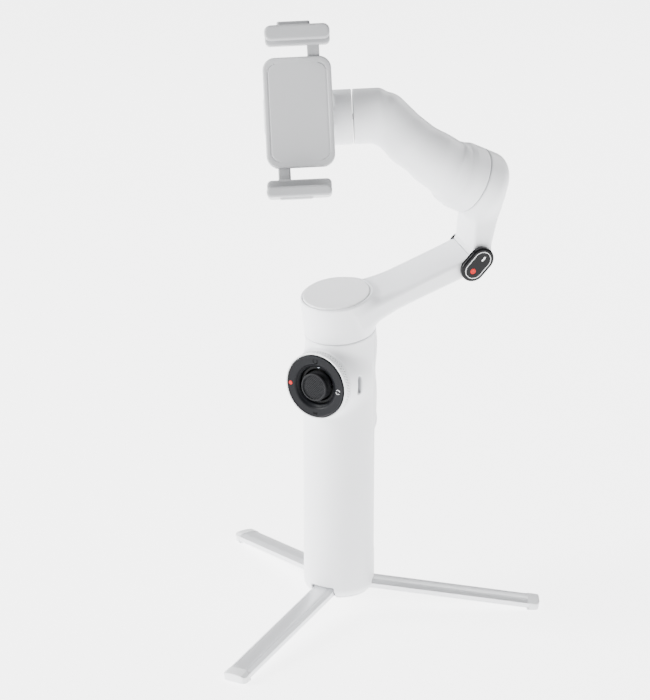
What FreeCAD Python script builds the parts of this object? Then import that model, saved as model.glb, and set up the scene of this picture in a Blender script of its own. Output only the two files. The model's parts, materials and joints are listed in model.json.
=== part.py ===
# Folding three-axis phone gimbal with a built-in tripod, as an assembly.
# Millimetres. Origin at the mouth of the tripod socket, on the handle's axis. +Z up along the handle.
# The control panel faces -Y, the charging port is on the +X side, the trigger is at the back (+Y).
import FreeCAD, Part
import os, math
V = FreeCAD.Vector
os.makedirs("parts", exist_ok=True)

# ---------------------------------------------------------------- driving dimensions
HANDLE_R = 18.0            # outside radius of the handle
WALL = 1.8                 # shell wall
HANDLE_STRAIGHT = 118.0    # height where the neck starts to lean
BOTTOM_ROUND = 6.5         # rounding of the handle's lower edge
PAN_Z = 143.4              # height where the pan axis crosses the handle's axis
PAN_LEAN = 12.0            # lean of the pan axis towards the panel, degrees
PAN_R = 18.0               # pan rotor outside radius
PAN_BOTTOM = -3.1          # rotor's lower rim along the pan axis
PAN_TOP = 16.9             # top of the cap along the pan axis
GAP = 0.4                  # visible gap between a rotor and its base
PANEL_Z = 117.0            # height of the control panel's axis
PANEL_FACE_Y = -24.3       # front of the press ring
DIAL_R = 17.0              # outside radius of the zoom dial
ARM_AZ = 48.0              # azimuth of the arms' plane about the pan axis
ARM_W = 25.0               # width of both arms, along the hinge pin
ARM_T = 9.8                # thickness of the lower arm
ARM_RISE = 13.1            # rise of the lower arm, degrees
HINGE = (70.2, 21.1)       # elbow pin in the arms' plane (radial, along the pan axis)
PIN_R = 1.8                # elbow pin
KNUCKLE_R = 3.7            # elbow knuckles
CHEEK_R = 4.7              # black discs at the ends of the knuckles
FOLD_DEG = 150.0           # travel of the elbow
ROLL_AT = (76.8, 58.4)     # centre of the roll motor in the arms' plane
ROLL_DIR = 145.0           # direction of the roll axis in the arms' plane, degrees
ROLL_R = 16.9              # roll motor radius
PHONE_AT = (-13.2, -23.6, 254.3)   # centre of the held phone
PHONE_YAW, PHONE_PITCH, PHONE_ROLL = 30.0, 18.7, 2.7
TILT_YZ = (-2.0, -27.0)    # tilt axis in the clamp's frame
TILT_R = 13.5
JAW_W = 31.2               # width of the jaws
JAW_X0 = -11.2             # left end of the upper jaw in the clamp's frame
JAW_LOW_X0 = -13.5         # left end of the lower jaw
OPEN_TOP, OPEN_BOTTOM = 36.1, -37.1   # faces of the pads that hold the phone
LEG_AZ = {"front": 270.0, "right": 30.0, "left": 150.0}
LEG_PIVOT_R, LEG_PIVOT_Z = 13.5, 4.2
LEG_SLOPE = 8.04           # leg's slope below level when open
LEG_W = 12.0
LEG_LEN = 86.0
LEG_SIDE = 2.6             # height of a leg's side
FLOOR_Z = -10.2            # the feet stand on this plane when the legs are open
THREAD_R = 2.6             # wall of the 1/4 inch socket
THREAD_LEN = 8.0

# ---------------------------------------------------------------- helpers
def place(origin, xdir, zdir):
    z = V(*zdir); z.normalize()
    x = V(*xdir); x = x - z * x.dot(z); x.normalize()
    y = z.cross(x)
    o = V(*origin)
    return FreeCAD.Placement(FreeCAD.Matrix(x.x, y.x, z.x, o.x, x.y, y.y, z.y, o.y, x.z, y.z, z.z, o.z, 0, 0, 0, 1))

def put(s, F):
    s = s.copy(); s.Placement = F.multiply(s.Placement); return s

def cyl(r, h, p=(0, 0, 0), d=(0, 0, 1)):
    return Part.makeCylinder(r, h, V(*p), V(*d))

def box(x0, y0, z0, x1, y1, z1):
    return Part.makeBox(x1 - x0, y1 - y0, z1 - z0, V(x0, y0, z0))

def tube(ro, ri, h, p=(0, 0, 0), d=(0, 0, 1)):
    return cyl(ro, h, p, d).cut(cyl(ri, h, p, d))

def fuse(*s):
    a = s[0]
    for b in s[1:]:
        a = a.fuse(b)
    return a.removeSplitter()

def one(s):
    # the largest solid of a result
    sol = sorted(s.Solids, key=lambda q: -q.Volume)
    return sol[0]

def fillet(s, r, pick):
    es = [e for e in s.Edges if pick(e)]
    if not es:
        print("no edge for fillet", r); return s
    for rr in (r, r * 0.8, r * 0.6, r * 0.4):
        try:
            t = s.makeFillet(rr, es)
            if t.isValid() and t.Volume > 0:
                return t
        except Exception:
            pass
    print("fillet left out", r)
    return s

def chamfer(s, r, pick):
    es = [e for e in s.Edges if pick(e)]
    try:
        t = s.makeChamfer(r, es)
        if t.isValid():
            return t
    except Exception:
        pass
    print("chamfer left out", r)
    return s

def rrect(w, h, r, n=6):
    # rounded rectangle wire in XY, centred
    x, y = w / 2.0, h / 2.0
    r = min(r, x - 0.01, y - 0.01)
    k = r * (1 - math.sqrt(0.5))
    P = [V(x - r, -y, 0), V(x, -y + r, 0), V(x, y - r, 0), V(x - r, y, 0), V(-x + r, y, 0), V(-x, y - r, 0), V(-x, -y + r, 0), V(-x + r, -y, 0)]
    M = [V(x - k, -y + k, 0), V(x - k, y - k, 0), V(-x + k, y - k, 0), V(-x + k, -y + k, 0)]
    es = [Part.Arc(P[0], M[0], P[1]).toShape(), Part.LineSegment(P[1], P[2]).toShape(),
          Part.Arc(P[2], M[1], P[3]).toShape(), Part.LineSegment(P[3], P[4]).toShape(),
          Part.Arc(P[4], M[2], P[5]).toShape(), Part.LineSegment(P[5], P[6]).toShape(),
          Part.Arc(P[6], M[3], P[7]).toShape(), Part.LineSegment(P[7], P[0]).toShape()]
    return Part.Wire(es)

def rbox(w, h, t, r, c=(0, 0, 0), e=0.0):
    # rounded plate, w by h by t, centred on c in x and y, bottom at c.z
    s = Part.Face(rrect(w, h, r)).extrude(V(0, 0, t))
    if e > 0:
        s = fillet(s, e, lambda q: abs(q.BoundBox.ZMax - q.BoundBox.ZMin) < 1e-6)
    s.translate(V(*c)); return s

def stadium(L, w, t):
    r = w / 2.0; a = L / 2.0 - r
    es = [Part.LineSegment(V(-a, -r, 0), V(a, -r, 0)).toShape(), Part.Arc(V(a, -r, 0), V(a + r, 0, 0), V(a, r, 0)).toShape(),
          Part.LineSegment(V(a, r, 0), V(-a, r, 0)).toShape(), Part.Arc(V(-a, r, 0), V(-a - r, 0, 0), V(-a, -r, 0)).toShape()]
    return Part.Face(Part.Wire(es)).extrude(V(0, 0, t))

def slab(pts, y0, y1):
    # polygon in XZ, extruded along Y
    P = [V(x, y0, z) for x, z in pts]
    return Part.Face(Part.makePolygon(P + [P[0]])).extrude(V(0, y1 - y0, 0))

def wire_at(w, F):
    w = w.copy(); w.Placement = F.multiply(w.Placement); return w

def circ(r, F):
    return wire_at(Part.Wire(Part.makeCircle(r)), F)

def rot2(x, z, deg):
    a = math.radians(deg)
    return (x * math.cos(a) - z * math.sin(a), x * math.sin(a) + z * math.cos(a))

nodes = {}
def add(name, s):
    if s.ShapeType == "Compound" and len(s.Solids) == 1:
        s = s.Solids[0]
    nodes[name] = s

# ---------------------------------------------------------------- frames
L = math.radians(PAN_LEAN)
n = (0.0, -math.sin(L), math.cos(L))
PAN = place((0, 0, PAN_Z), (1, 0, 0), n)
ARM = PAN.multiply(FreeCAD.Placement(V(0, 0, 0), FreeCAD.Rotation(V(0, 0, 1), ARM_AZ)))
a = math.radians(ROLL_DIR)
ROLL_L = place((ROLL_AT[0], 0, ROLL_AT[1]), (0, -1, 0), (math.cos(a), 0, math.sin(a)))   # in ARM
ROLL = ARM.multiply(ROLL_L)
yw, pt, rl = [math.radians(q) for q in (PHONE_YAW, PHONE_PITCH, PHONE_ROLL)]
face = V(math.sin(yw) * math.cos(pt), -math.cos(yw) * math.cos(pt), math.sin(pt))
rt = V(math.cos(yw), math.sin(yw), 0)
up = face.cross(rt)
pdir = rt * math.cos(rl) + up * math.sin(rl)
PHONE = place(PHONE_AT, (pdir.x, pdir.y, pdir.z), (face.x, face.y, face.z))
I = FreeCAD.Placement()

# ================================================================ HANDLE
def handle_solid(r, z0, zpan, top):
    s = cyl(r, HANDLE_STRAIGHT - z0, (0, 0, z0))
    lo = Part.makeLoft([circ(r, place((0, 0, HANDLE_STRAIGHT), (1, 0, 0), (0, 0, 1))),
                        circ(r, PAN.multiply(place((0, 0, zpan), (1, 0, 0), (0, 0, 1))))], True, True)
    tp = put(cyl(r, top - zpan, (0, 0, zpan)), PAN)
    return fuse(s, lo, tp)

HTOP = PAN_BOTTOM - GAP
outer = handle_solid(HANDLE_R, 0.0, -9.0, HTOP)
outer = fillet(outer, BOTTOM_ROUND, lambda e: abs(e.BoundBox.ZMax) < 1e-4 and abs(e.BoundBox.ZMin) < 1e-4)
BOSS_R = 17.2
boss = cyl(BOSS_R, 18.8, (0, 0, PANEL_Z), (0, -1, 0))
flare = Part.makeCone(20.2, BOSS_R, 5.2, V(0, -12.0, PANEL_Z), V(0, -1, 0)).common(box(-17.6, -30, 60, 17.6, 0, 175))
outer = fuse(outer, boss, flare)
# housing of the trigger at the back: a long low swelling
m = FreeCAD.Matrix(); m.A11, m.A22, m.A33 = 15.5, 11.5, 33.0
swell = Part.makeSphere(1.0).transformGeometry(m); swell.translate(V(0, 8.6, 103))
swell = swell.common(box(-30, 0, 60, 30, 40, 134))
outer = fuse(outer, swell)
cav = handle_solid(HANDLE_R - WALL, -5.0, -9.0, HTOP + 1.0)
cav = fuse(cav, cyl(14.4, 30, (0, 0, PANEL_Z), (0, -1, 0)))
shell = outer.cut(cav)
# notches that let the legs out
for az in LEG_AZ.values():
    nb = box(5, -LEG_W / 2 - 0.5, -2, 22, LEG_W / 2 + 0.5, 7.3)
    nb.rotate(V(0, 0, 0), V(0, 0, 1), az)
    shell = shell.cut(nb)
# oblong hole of the charging port, on the +X flank
PORT = place((17.9, -10.3, PANEL_Z - 0.4), (0, 0, 1), (1, 0, 0))
shell = shell.cut(put(stadium(9.5, 3.7, 12).translated(V(0, 0, -8)), PORT))
# slot for the trigger
TRG_Z0, TRG_Z1, TRG_W = 76.5, 104.5, 15.0
shell = shell.cut(box(-TRG_W / 2 - 0.35, 10, TRG_Z0 - 0.35, TRG_W / 2 + 0.35, 40, TRG_Z1 + 0.35))
# split line between the front shell and the back cover
def splitter(off):
    p = [(40, 22.5 - off), (5.7 - off, 22.5 - off), (5.7 - off, 70.0), (3.5 - off, 86.0), (3.5 - off, 170), (40, 170)]
    P = [V(-40, y, z) for y, z in p]
    return Part.Face(Part.makePolygon(P + [P[0]])).extrude(V(80, 0, 0))
add("front_shell", one(shell.cut(splitter(0.12))))
TP = (15.6, 101.5)
add("back_cover", one(shell.common(splitter(-0.12)).cut(cyl(0.82, 18.4, (-9.2, TP[0], TP[1]), (1, 0, 0)))))

# pan motor base: closes the top of the handle and carries the stator
base = fuse(cyl(16.15, 4.4, (0, 0, -8.0)), cyl(6.0, 10.0, (0, 0, -4.0)))
base = base.cut(cyl(3.9, 16, (0, 0, -9)))
base = put(base, PAN)
add("pan_motor_base", base)
# stator core: toothed ring with coils
st = tube(12.6, 6.05, 7.0)
teeth = 12
for i in range(teeth):
    w = box(7.6, -0.9, -1, 13.2, 0.9, 8); w.rotate(V(0, 0, 0), V(0, 0, 1), 360.0 * i / teeth + 15)
    st = st.cut(w)
st.translate(V(0, 0, -1.5))
add("pan_stator", put(st, PAN))
add("pan_bearings", Part.makeCompound([put(tube(3.85, 2.05, 2.4, (0, 0, -7.6)), PAN), put(tube(3.85, 2.05, 2.4, (0, 0, 2.6)), PAN)]))

# bottom hub with the clevises of the legs
round_ = fillet(cyl(HANDLE_R, 30.0), BOTTOM_ROUND, lambda e: abs(e.BoundBox.ZMax) < 1e-4 and abs(e.BoundBox.ZMin) < 1e-4)
hub = cyl(HANDLE_R - WALL - 0.05, 13.5, (0, 0, 0)).common(round_)
for az in LEG_AZ.values():
    s = box(7.2, -LEG_W / 2 - 0.25, -3, 20, LEG_W / 2 + 0.25, 9.0)
    s.rotate(V(0, 0, 0), V(0, 0, 1), az); hub = hub.cut(s)
    c, sn = math.cos(math.radians(az)), math.sin(math.radians(az))
    hub = hub.cut(cyl(1.0, 14.6, (LEG_PIVOT_R * c + 7.3 * sn, LEG_PIVOT_R * sn - 7.3 * c, LEG_PIVOT_Z), (-sn, c, 0)))
hub = hub.cut(cyl(4.2, 9.0, (0, 0, -0.5)))
for az in (90, 210, 330):
    c, sn = math.cos(math.radians(az)), math.sin(math.radians(az))
    hub = hub.cut(cyl(1.05, 14, (12.2 * c, 12.2 * sn, 0.5))).cut(cyl(1.95, 3.2, (12.2 * c, 12.2 * sn, 0.0)))
add("bottom_hub", one(hub))
ins = cyl(4.15, THREAD_LEN, (0, 0, 0)).cut(cyl(THREAD_R, THREAD_LEN, (0, 0, 0)))
add("thread_insert", ins)
pins = []
for az in LEG_AZ.values():
    c, sn = math.cos(math.radians(az)), math.sin(math.radians(az))
    pins.append(cyl(0.95, 14.4, (LEG_PIVOT_R * c + 7.2 * sn, LEG_PIVOT_R * sn - 7.2 * c, LEG_PIVOT_Z), (-sn, c, 0)))
scr = []
for az in (90, 210, 330):
    c, sn = math.cos(math.radians(az)), math.sin(math.radians(az))
    h = fuse(cyl(1.0, 13.0, (12.2 * c, 12.2 * sn, 3.0)), cyl(1.85, 1.3, (12.2 * c, 12.2 * sn, 1.8)))
    x = fuse(box(-1.1, -0.25, -1, 1.1, 0.25, 0.8), box(-0.25, -1.1, -1, 0.25, 1.1, 0.8)); x.translate(V(12.2 * c, 12.2 * sn, 1.7))
    scr.append(h.cut(x))
add("hub_screws", Part.makeCompound(scr))
# chassis that the hub, the battery and the board are screwed to
ch = tube(11.0, 9.6, 72.0, (0, 0, 18.5))
ch = ch.cut(box(-20, -20, 26, 20, -5.5, 86))
ch = fuse(ch, cyl(11.0, 1.4, (0, 0, 18.0)), cyl(11.0, 1.4, (0, 0, 89.4)))
feet = []
for az in (90, 210, 330):
    c, sn = math.cos(math.radians(az)), math.sin(math.radians(az))
    f = box(9.5, -2.2, 13.6, 14.4, 2.2, 19.4); f.rotate(V(0, 0, 0), V(0, 0, 1), az)
    feet.append(f)
ch = fuse(ch, *feet)
for az in (90, 210, 330):
    c, sn = math.cos(math.radians(az)), math.sin(math.radians(az))
    ch = ch.cut(cyl(1.04, 6.0, (12.2 * c, 12.2 * sn, 13.0)))
ch = fuse(ch, box(-9, 3.2, 90.0, 9, 5.0, 124.0))
add("inner_chassis", one(ch))
add("battery_cell", fuse(cyl(9.15, 65.0, (0, 0, 21.8)), cyl(3.0, 1.2, (0, 0, 86.6))))
brd = box(-11.5, 1.6, 92.5, 11.5, 2.8, 127.0)
chips = [box(-5, 0.4, 100, 4, 1.6, 109), box(-9, 0.6, 113, -3, 1.6, 119), box(2, 0.6, 113, 8, 1.6, 118), box(4, 0.6, 94, 9, 1.6, 98)]
main_board = fuse(brd, *chips)
# charging port
prt = stadium(8.95, 3.25, 7.0).cut(stadium(8.35, 2.65, 6.4).translated(V(0, 0, 0.6)))
tg = rbox(6.6, 0.7, 5.4, 0.2).translated(V(0, 0, -7.0))
add("usb_c_port", Part.makeCompound([put(prt.translated(V(0, 0, -7.6)), PORT), put(tg, PORT)]))
# panel: fixed ring that the dial turns on, and its circuit board
PAN_F = place((0, 0, PANEL_Z), (1, 0, 0), (0, -1, 0))     # z forwards, out of the panel
pr = fuse(tube(14.32, 12.6, 6.6, (0, 0, 11.0)), tube(14.32, 12.0, 1.2, (0, 0, 11.0)))
pr = fuse(pr, tube(13.75, 12.6, 4.2, (0, 0, 17.6)))
pr = pr.cut(box(9.4, -5.3, 10.0, 15.0, 4.5, 12.15))
add("panel_ring", put(one(pr), PAN_F))
# fixed centre of the panel: seat of the joystick with a sunk ring round it
seat = Part.makeCylinder(9.45, 6.2, V(0, 0, 14.6), V(0, 0, 1))
seat = seat.cut(Part.makeSphere(8.75, V(0, 0, 17.0)))
seat = seat.cut(cyl(7.4, 6, (0, 0, 10.0))).cut(cyl(8.3, 4, (0, 0, 19.6)))
seat = fuse(seat, tube(12.55, 9.3, 1.4, (0, 0, 14.6)))
for sg in (1, -1):
    p, q = sorted((5.5 * sg, 7.9 * sg))
    seat = seat.fuse(box(p, -1.4, 14.6, q, 1.4, 18.2))
seat = seat.removeSplitter().cut(cyl(0.84, 13.4, (-6.7, 0, 17.0), (1, 0, 0))).cut(cyl(0.48, 20, (0, 8.9, 10)))
add("joystick_seat", one(put(seat, PAN_F)))
bd = cyl(12.25, 1.1, (0, 0, 12.25)).cut(cyl(2.0, 4, (0, 0, 11)))
add("circuit_boards", Part.makeCompound([main_board, put(bd, PAN_F)]))
add("status_light", put(cyl(0.4, 7.3, (0, 8.9, 13.4)), PAN_F))

# zoom dial
dl = cyl(DIAL_R, 4.6, (0, 0, 19.1))
dl = fillet(dl, 0.7, lambda e: abs(e.BoundBox.YMax) > -1 and abs(e.BoundBox.ZMin - 23.7) < 1e-4 and abs(e.BoundBox.ZMax - 23.7) < 1e-4)
dl = dl.cut(cyl(16.22, 2.2, (0, 0, 22.0))).cut(cyl(13.82, 8, (0, 0, 18)))
for i in range(60):
    g = cyl(0.32, 3.1, (DIAL_R + 0.12, 0, 19.1)); g.rotate(V(0, 0, 0), V(0, 0, 1), 6.0 * i)
    dl = dl.cut(g)
add("zoom_dial", put(dl, PAN_F))
# press ring: black dished ring
pf = -PANEL_FACE_Y
prof = [(9.78, 20.2), (9.78, 22.5), (10.6, 23.16), (11.5, 23.95), (12.0, 24.1), (15.1, 24.1), (15.45, pf), (15.9, 24.0), (15.9, 22.9), (12.55, 22.9), (12.55, 20.2)]
P = [V(x, 0, z) for x, z in prof]
press = Part.Face(Part.makePolygon(P + [P[0]])).revolve(V(0, 0, 0), V(0, 0, 1), 360)
rim = [q for q in press.Solids] or [press]
press = rim[0]
ic = []
top_icon = tube(1.3, 0.9, 0.3, (0, 13.1, 23.98))
bot_icon = fuse(box(-1.3, -14.7, 23.98, 1.3, -14.3, 24.2), box(-1.3, -13.7, 23.98, 1.3, -13.3, 24.2))
for k in (top_icon, bot_icon):
    press = press.cut(k)
add("press_ring", put(one(press), PAN_F))
flip = []
for sg in (1, -1):
    q = box(-1.5, -0.22, 23.98, 1.1, 0.22, 24.16)
    t = Part.Face(Part.makePolygon([V(0.5, 0.9, 0), V(1.7, 0, 0), V(0.5, -0.9, 0), V(0.5, 0.9, 0)])).extrude(V(0, 0, 0.18)); t.translate(V(0, 0, 23.98))
    q = fuse(q, t)
    q.translate(V(0, 0.85, 0))
    if sg < 0:
        q.rotate(V(0, 0, 0), V(0, 0, 1), 180)
    q.translate(V(12.9, -0.7, 0.12)); flip.append(q)
add("press_ring_marks", put(Part.makeCompound(flip), PAN_F))
add("record_dot", put(cyl(1.0, 0.14, (-14.0, -0.3, 24.1)), PAN_F))
# joystick: cross piece, stem with skirt, cap
JC = 17.0
cr = fuse(cyl(2.6, 2.2, (0, 0, JC - 1.1)), cyl(0.8, 12.6, (-6.3, 0, JC), (1, 0, 0)), cyl(0.8, 9.2, (0, -4.6, JC), (0, 1, 0)))
add("joystick_cross", put(cr, PAN_F))
def ba(r, z0_):
    return math.sqrt(r * r - (z0_ - JC) ** 2)
q0, q1, q2, q3 = V(ba(7.2, 21.5), 0, 21.5), V(ba(7.2, 20.9), 0, 20.9), V(ba(8.3, 20.9), 0, 20.9), V(ba(8.3, 23.2), 0, 23.2)
qm = V(ba(8.3, 22.1), 0, 22.1)
ln = lambda p_, q_: Part.LineSegment(p_, q_).toShape()
pth = [V(0, 0, 19.2), V(3.3, 0, 19.2), V(3.3, 0, 15.0), V(4.9, 0, 15.0), V(4.9, 0, 20.6), V(2.0, 0, 20.6), V(2.0, 0, 21.5), q0, q1, q2]
es = [ln(pth[k], pth[k + 1]) for k in range(len(pth) - 1)]
es += [Part.Arc(q2, qm, q3).toShape(), ln(q3, V(2.0, 0, 23.2)), ln(V(2.0, 0, 23.2), V(2.0, 0, 23.5)), ln(V(2.0, 0, 23.5), V(0, 0, 23.5)), ln(V(0, 0, 23.5), V(0, 0, 19.2))]
stem = Part.Face(Part.Wire(es)).revolve(V(0, 0, 0), V(0, 0, 1), 360)
stem = stem.Solids[0]
stem = stem.cut(cyl(0.84, 14, (0, -7, JC), (0, 1, 0))).cut(box(-7, -1.5, 10, 7, 1.5, JC + 2.2))
add("joystick_stem", put(one(stem), PAN_F))
cap = cyl(7.1, 2.2, (0, 0, 23.52))
cap = fillet(cap, 0.6, lambda e: abs(e.BoundBox.ZMin - 25.72) < 1e-4 and abs(e.BoundBox.ZMax - 25.72) < 1e-4)
cap = cap.cut(cyl(6.15, 1, (0, 0, 25.32)))
gro = []
for i in range(-7, 8):
    for ang in (45, -45):
        g = box(-6.3, -0.14, 25.08, 6.3, 0.14, 25.5); g.translate(V(0, i * 0.86, 0)); g.rotate(V(0, 0, 0), V(0, 0, 1), ang); gro.append(g)
kn = Part.makeCompound(gro).common(cyl(6.15, 1, (0, 0, 25.0)))
cap = cap.cut(kn)
add("joystick_cap", put(one(cap), PAN_F))

# trigger, its pin and spring
def yz(pts, x0, x1):
    P = [V(x0, y, z) for y, z in pts]
    return Part.Face(Part.makePolygon(P + [P[0]])).extrude(V(x1 - x0, 0, 0))
TP = (15.6, 101.5)
tp = [(14.2, 104.0), (18.6, 104.0), (20.6, 101.5), (22.6, 97.5), (25.0, 93.0), (26.8, 89.0), (27.4, 85.5), (26.6, 82.4), (24.0, 79.6), (20.5, 77.6), (18.4, 77.4), (18.2, 83), (15.0, 96)]
trg = yz(tp, -TRG_W / 2, TRG_W / 2)
trg = fillet(trg, 2.2, lambda e: abs(abs(e.BoundBox.XMax) - TRG_W / 2) < 1e-4 and abs(e.BoundBox.XMax - e.BoundBox.XMin) < 1e-4 and e.BoundBox.YMin > 19.0)
trg = trg.cut(cyl(0.85, 20, (-10, TP[0], TP[1]), (1, 0, 0)))
add("trigger", trg)
pins.append(cyl(0.8, TRG_W + 3.0, (-TRG_W / 2 - 1.5, TP[0], TP[1]), (1, 0, 0)))
add("hinge_pins", Part.makeCompound(pins))
sp = box(-1.6, 12.2, 80.0, 1.6, 12.8, 96.0)
sp = fuse(sp, box(-1.6, 12.2, 80.0, 1.6, 18.15, 80.6), box(-1.6, 5.05, 95.4, 1.6, 12.8, 96.0))
add("trigger_spring", sp)

# ================================================================ PAN ROTOR AND LOWER ARM
rs = cyl(PAN_R, PAN_TOP - 0.5 - PAN_BOTTOM, (0, 0, PAN_BOTTOM))
rs = fillet(rs, 1.3, lambda e: abs(e.BoundBox.ZMin - (PAN_TOP - 0.5)) < 1e-4 and abs(e.BoundBox.ZMax - (PAN_TOP - 0.5)) < 1e-4)
def sect(x, w, t, r, up_=0.0):
    # arm section, normal to the arm's direction, on its centreline
    z = 8.5 + (x - 20.0) * math.tan(math.radians(ARM_RISE)) + up_
    cr_, sr_ = math.cos(math.radians(ARM_RISE)), math.sin(math.radians(ARM_RISE))
    F = place((x, 0, z), (0, 1, 0), (cr_, 0, sr_))
    return wire_at(rrect(w, t, r), F)
arm = Part.makeLoft([sect(9, 31, 15.5, 5.5, 0.6), sect(22, 27.0, 11.8, 4.2, 0.3), sect(34, ARM_W + 0.4, ARM_T + 0.4, 3.4), sect(48, ARM_W, ARM_T, 3.2)], True, False)
arm2 = Part.makeLoft([sect(48, ARM_W, ARM_T, 3.2), sect(78, ARM_W, ARM_T, 3.2)], True, True)
arm = fuse(arm, arm2)
hx, hz = HINGE
mit = 131.0
def hp(r, deg):
    return (hx + r * math.cos(math.radians(deg)), hz + r * math.sin(math.radians(deg)))
# keep what lies behind the mitre and behind the recess under the pin
keep = slab([(-40, -40), (hp(30, 286 - 0.0)[0] - 7.1 / math.cos(math.radians(13)), -40),
             (hp(7.1, 193)[0], hp(7.1, 193)[1]), (hx, hz), hp(25, mit), (-40, hp(25, mit)[1])], -20, 20)
arm = arm.common(keep)
ears = fuse(cyl(KNUCKLE_R, ARM_W / 2 - 4.2 - 1.2, (hx, 4.2, hz), (0, 1, 0)), cyl(KNUCKLE_R, ARM_W / 2 - 4.2 - 1.2, (hx, -ARM_W / 2 + 1.2, hz), (0, 1, 0)))
arm = fuse(arm, ears)
arm = arm.cut(cyl(KNUCKLE_R + 0.3, 8.4, (hx, -4.2, hz), (0, 1, 0)))
arm = arm.cut(cyl(PIN_R + 0.02, 40, (hx, -20, hz), (0, 1, 0)))
arm = arm.cut(cyl(CHEEK_R + 0.05, 5, (hx, ARM_W / 2 - 1.2, hz), (0, 1, 0))).cut(cyl(CHEEK_R + 0.05, 5, (hx, 1.2 - ARM_W / 2 - 5, hz), (0, 1, 0)))
# wire channel through the arm
arm = arm.cut(put(box(6, -2.5, -1.4, 60, 2.5, 1.4), place((0, 0, 8.5 - 20 * math.tan(math.radians(ARM_RISE))), (math.cos(math.radians(ARM_RISE)), 0, math.sin(math.radians(ARM_RISE))), (-math.sin(math.radians(ARM_RISE)), 0, math.cos(math.radians(ARM_RISE))))))
rotor = put(rs, PAN).fuse(put(arm, ARM)).removeSplitter()
rotor = rotor.cut(put(cyl(15.6, 15.6, (0, 0, PAN_BOTTOM - 1.0)), PAN)).cut(put(cyl(16.75, 3, (0, 0, 15.5)), PAN))
rotor = rotor.cut(put(cyl(2.03, 6, (0, 0, 11)), PAN))
add("pan_rotor_shell", one(rotor))
tc = cyl(16.6, 1.3, (0, 0, 15.6))
tc = fillet(tc, 0.35, lambda e: abs(e.BoundBox.ZMin - 16.9) < 1e-4 and abs(e.BoundBox.ZMax - 16.9) < 1e-4)
add("pan_top_cap", put(tc, PAN))
mg = []
def magnet_ring(ro, ri, h, z, k=14):
    out = []
    for i in range(k):
        s = tube(ro, ri, h, (0, 0, z))
        w0, w1 = math.radians(360.0 * i / k + 1.2), math.radians(360.0 * (i + 1) / k - 1.2)
        P = [V(0, 0, z), V(40 * math.cos(w0), 40 * math.sin(w0), z), V(40 * math.cos(w1), 40 * math.sin(w1), z)]
        wd = Part.Face(Part.makePolygon(P + [P[0]])).extrude(V(0, 0, h))
        out.append(s.common(wd))
    return Part.makeCompound([q for c in out for q in c.Solids])
add("pan_magnets", put(magnet_ring(15.58, 13.4, 7.0, -1.5), PAN))
ps = cyl(2.0, 23.4, (0, 0, -8.5))
add("pan_shaft", put(ps, PAN))
# elbow pin, black cheeks, pill cap, marks, far plate
HF = ARM.multiply(place((hx, 0, hz), (math.cos(math.radians(41)), 0, math.sin(math.radians(41))), (0, -1, 0)))  # z out of the near side, x along the pill
add("elbow_pin", put(cyl(PIN_R, ARM_W + 1.6, (0, 0, -ARM_W / 2 - 0.8)), HF))
ck = fuse(cyl(CHEEK_R, 2.0, (0, 0, ARM_W / 2 - 1.15)), stadium(13.5, 8.0, 0.5).translated(V(0, 0, ARM_W / 2 + 0.35)))
ck2 = cyl(CHEEK_R, 2.05, (0, 0, -ARM_W / 2 - 0.9))
ck = ck.cut(cyl(PIN_R + 0.02, 60, (0, 0, -30))); ck2 = ck2.cut(cyl(PIN_R + 0.02, 60, (0, 0, -30)))
add("elbow_cheeks", put(Part.makeCompound([ck, ck2]), HF))
PZ = ARM_W / 2 + 0.9
PF = HF.multiply(place((-0.7, 0.6, 0), (1, 0, 0), (0, 0, 1)))
pill = stadium(19.2, 12.8, 3.0).translated(V(0, 0, PZ))
pill = fillet(pill, 1.2, lambda e: abs(e.BoundBox.ZMin - PZ - 3.0) < 1e-4 and abs(e.BoundBox.ZMax - PZ - 3.0) < 1e-4)
ring = stadium(15.4, 9.0, 0.35).cut(stadium(14.8, 8.4, 0.35)).translated(V(0, 0, PZ + 2.7))
dot = cyl(1.5, 0.35, (-3.9, 0, PZ + 2.7))
bar = rbox(2.9, 0.9, 0.35, 0.42, (4.1, 0, PZ + 2.7))
pill = pill.cut(ring).cut(dot).cut(bar)
add("elbow_pill_cap", put(pill, PF))
add("elbow_red_dot", put(dot, PF))
add("elbow_cap_marks", Part.makeCompound([put(ring, PF), put(bar, PF)]))
fp = stadium(14.0, 7.6, 1.0).translated(V(0, 0, -ARM_W / 2 - 1.95))
fp = fillet(fp, 0.4, lambda e: abs(e.BoundBox.ZMin + ARM_W / 2 + 1.95) < 1e-4 and abs(e.BoundBox.ZMax + ARM_W / 2 + 1.95) < 1e-4)
add("elbow_far_plate", put(fp, HF))

# ================================================================ UPPER ARM AND ROLL STATOR
UA = [hp(5.0, mit - 2.4), (68.55, 26.5), (71.6, 43.0), (74.0, 58.4), (86.0, 52.0), (85.6, 46.0), (82.9, 38.6), (79.4, 28.0), hp(6.6, -14), (hx, hz)]
ua = slab(UA, -ARM_W / 2, ARM_W / 2)
ua = fillet(ua, 1.6, lambda e: abs(abs(e.BoundBox.YMax) - ARM_W / 2) < 1e-4 and abs(e.BoundBox.YMax - e.BoundBox.YMin) < 1e-4 and e.BoundBox.ZMax - e.BoundBox.ZMin > 7.5 and e.BoundBox.ZMin > 26.4 and e.BoundBox.XMax < 76)
ua = fillet(ua, 3.0, lambda e: abs(abs(e.BoundBox.YMax) - ARM_W / 2) < 1e-4 and abs(e.BoundBox.YMax - e.BoundBox.YMin) < 1e-4 and e.BoundBox.ZMax - e.BoundBox.ZMin > 7.5 and e.BoundBox.ZMin > 26.4 and e.BoundBox.XMin > 76)
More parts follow.
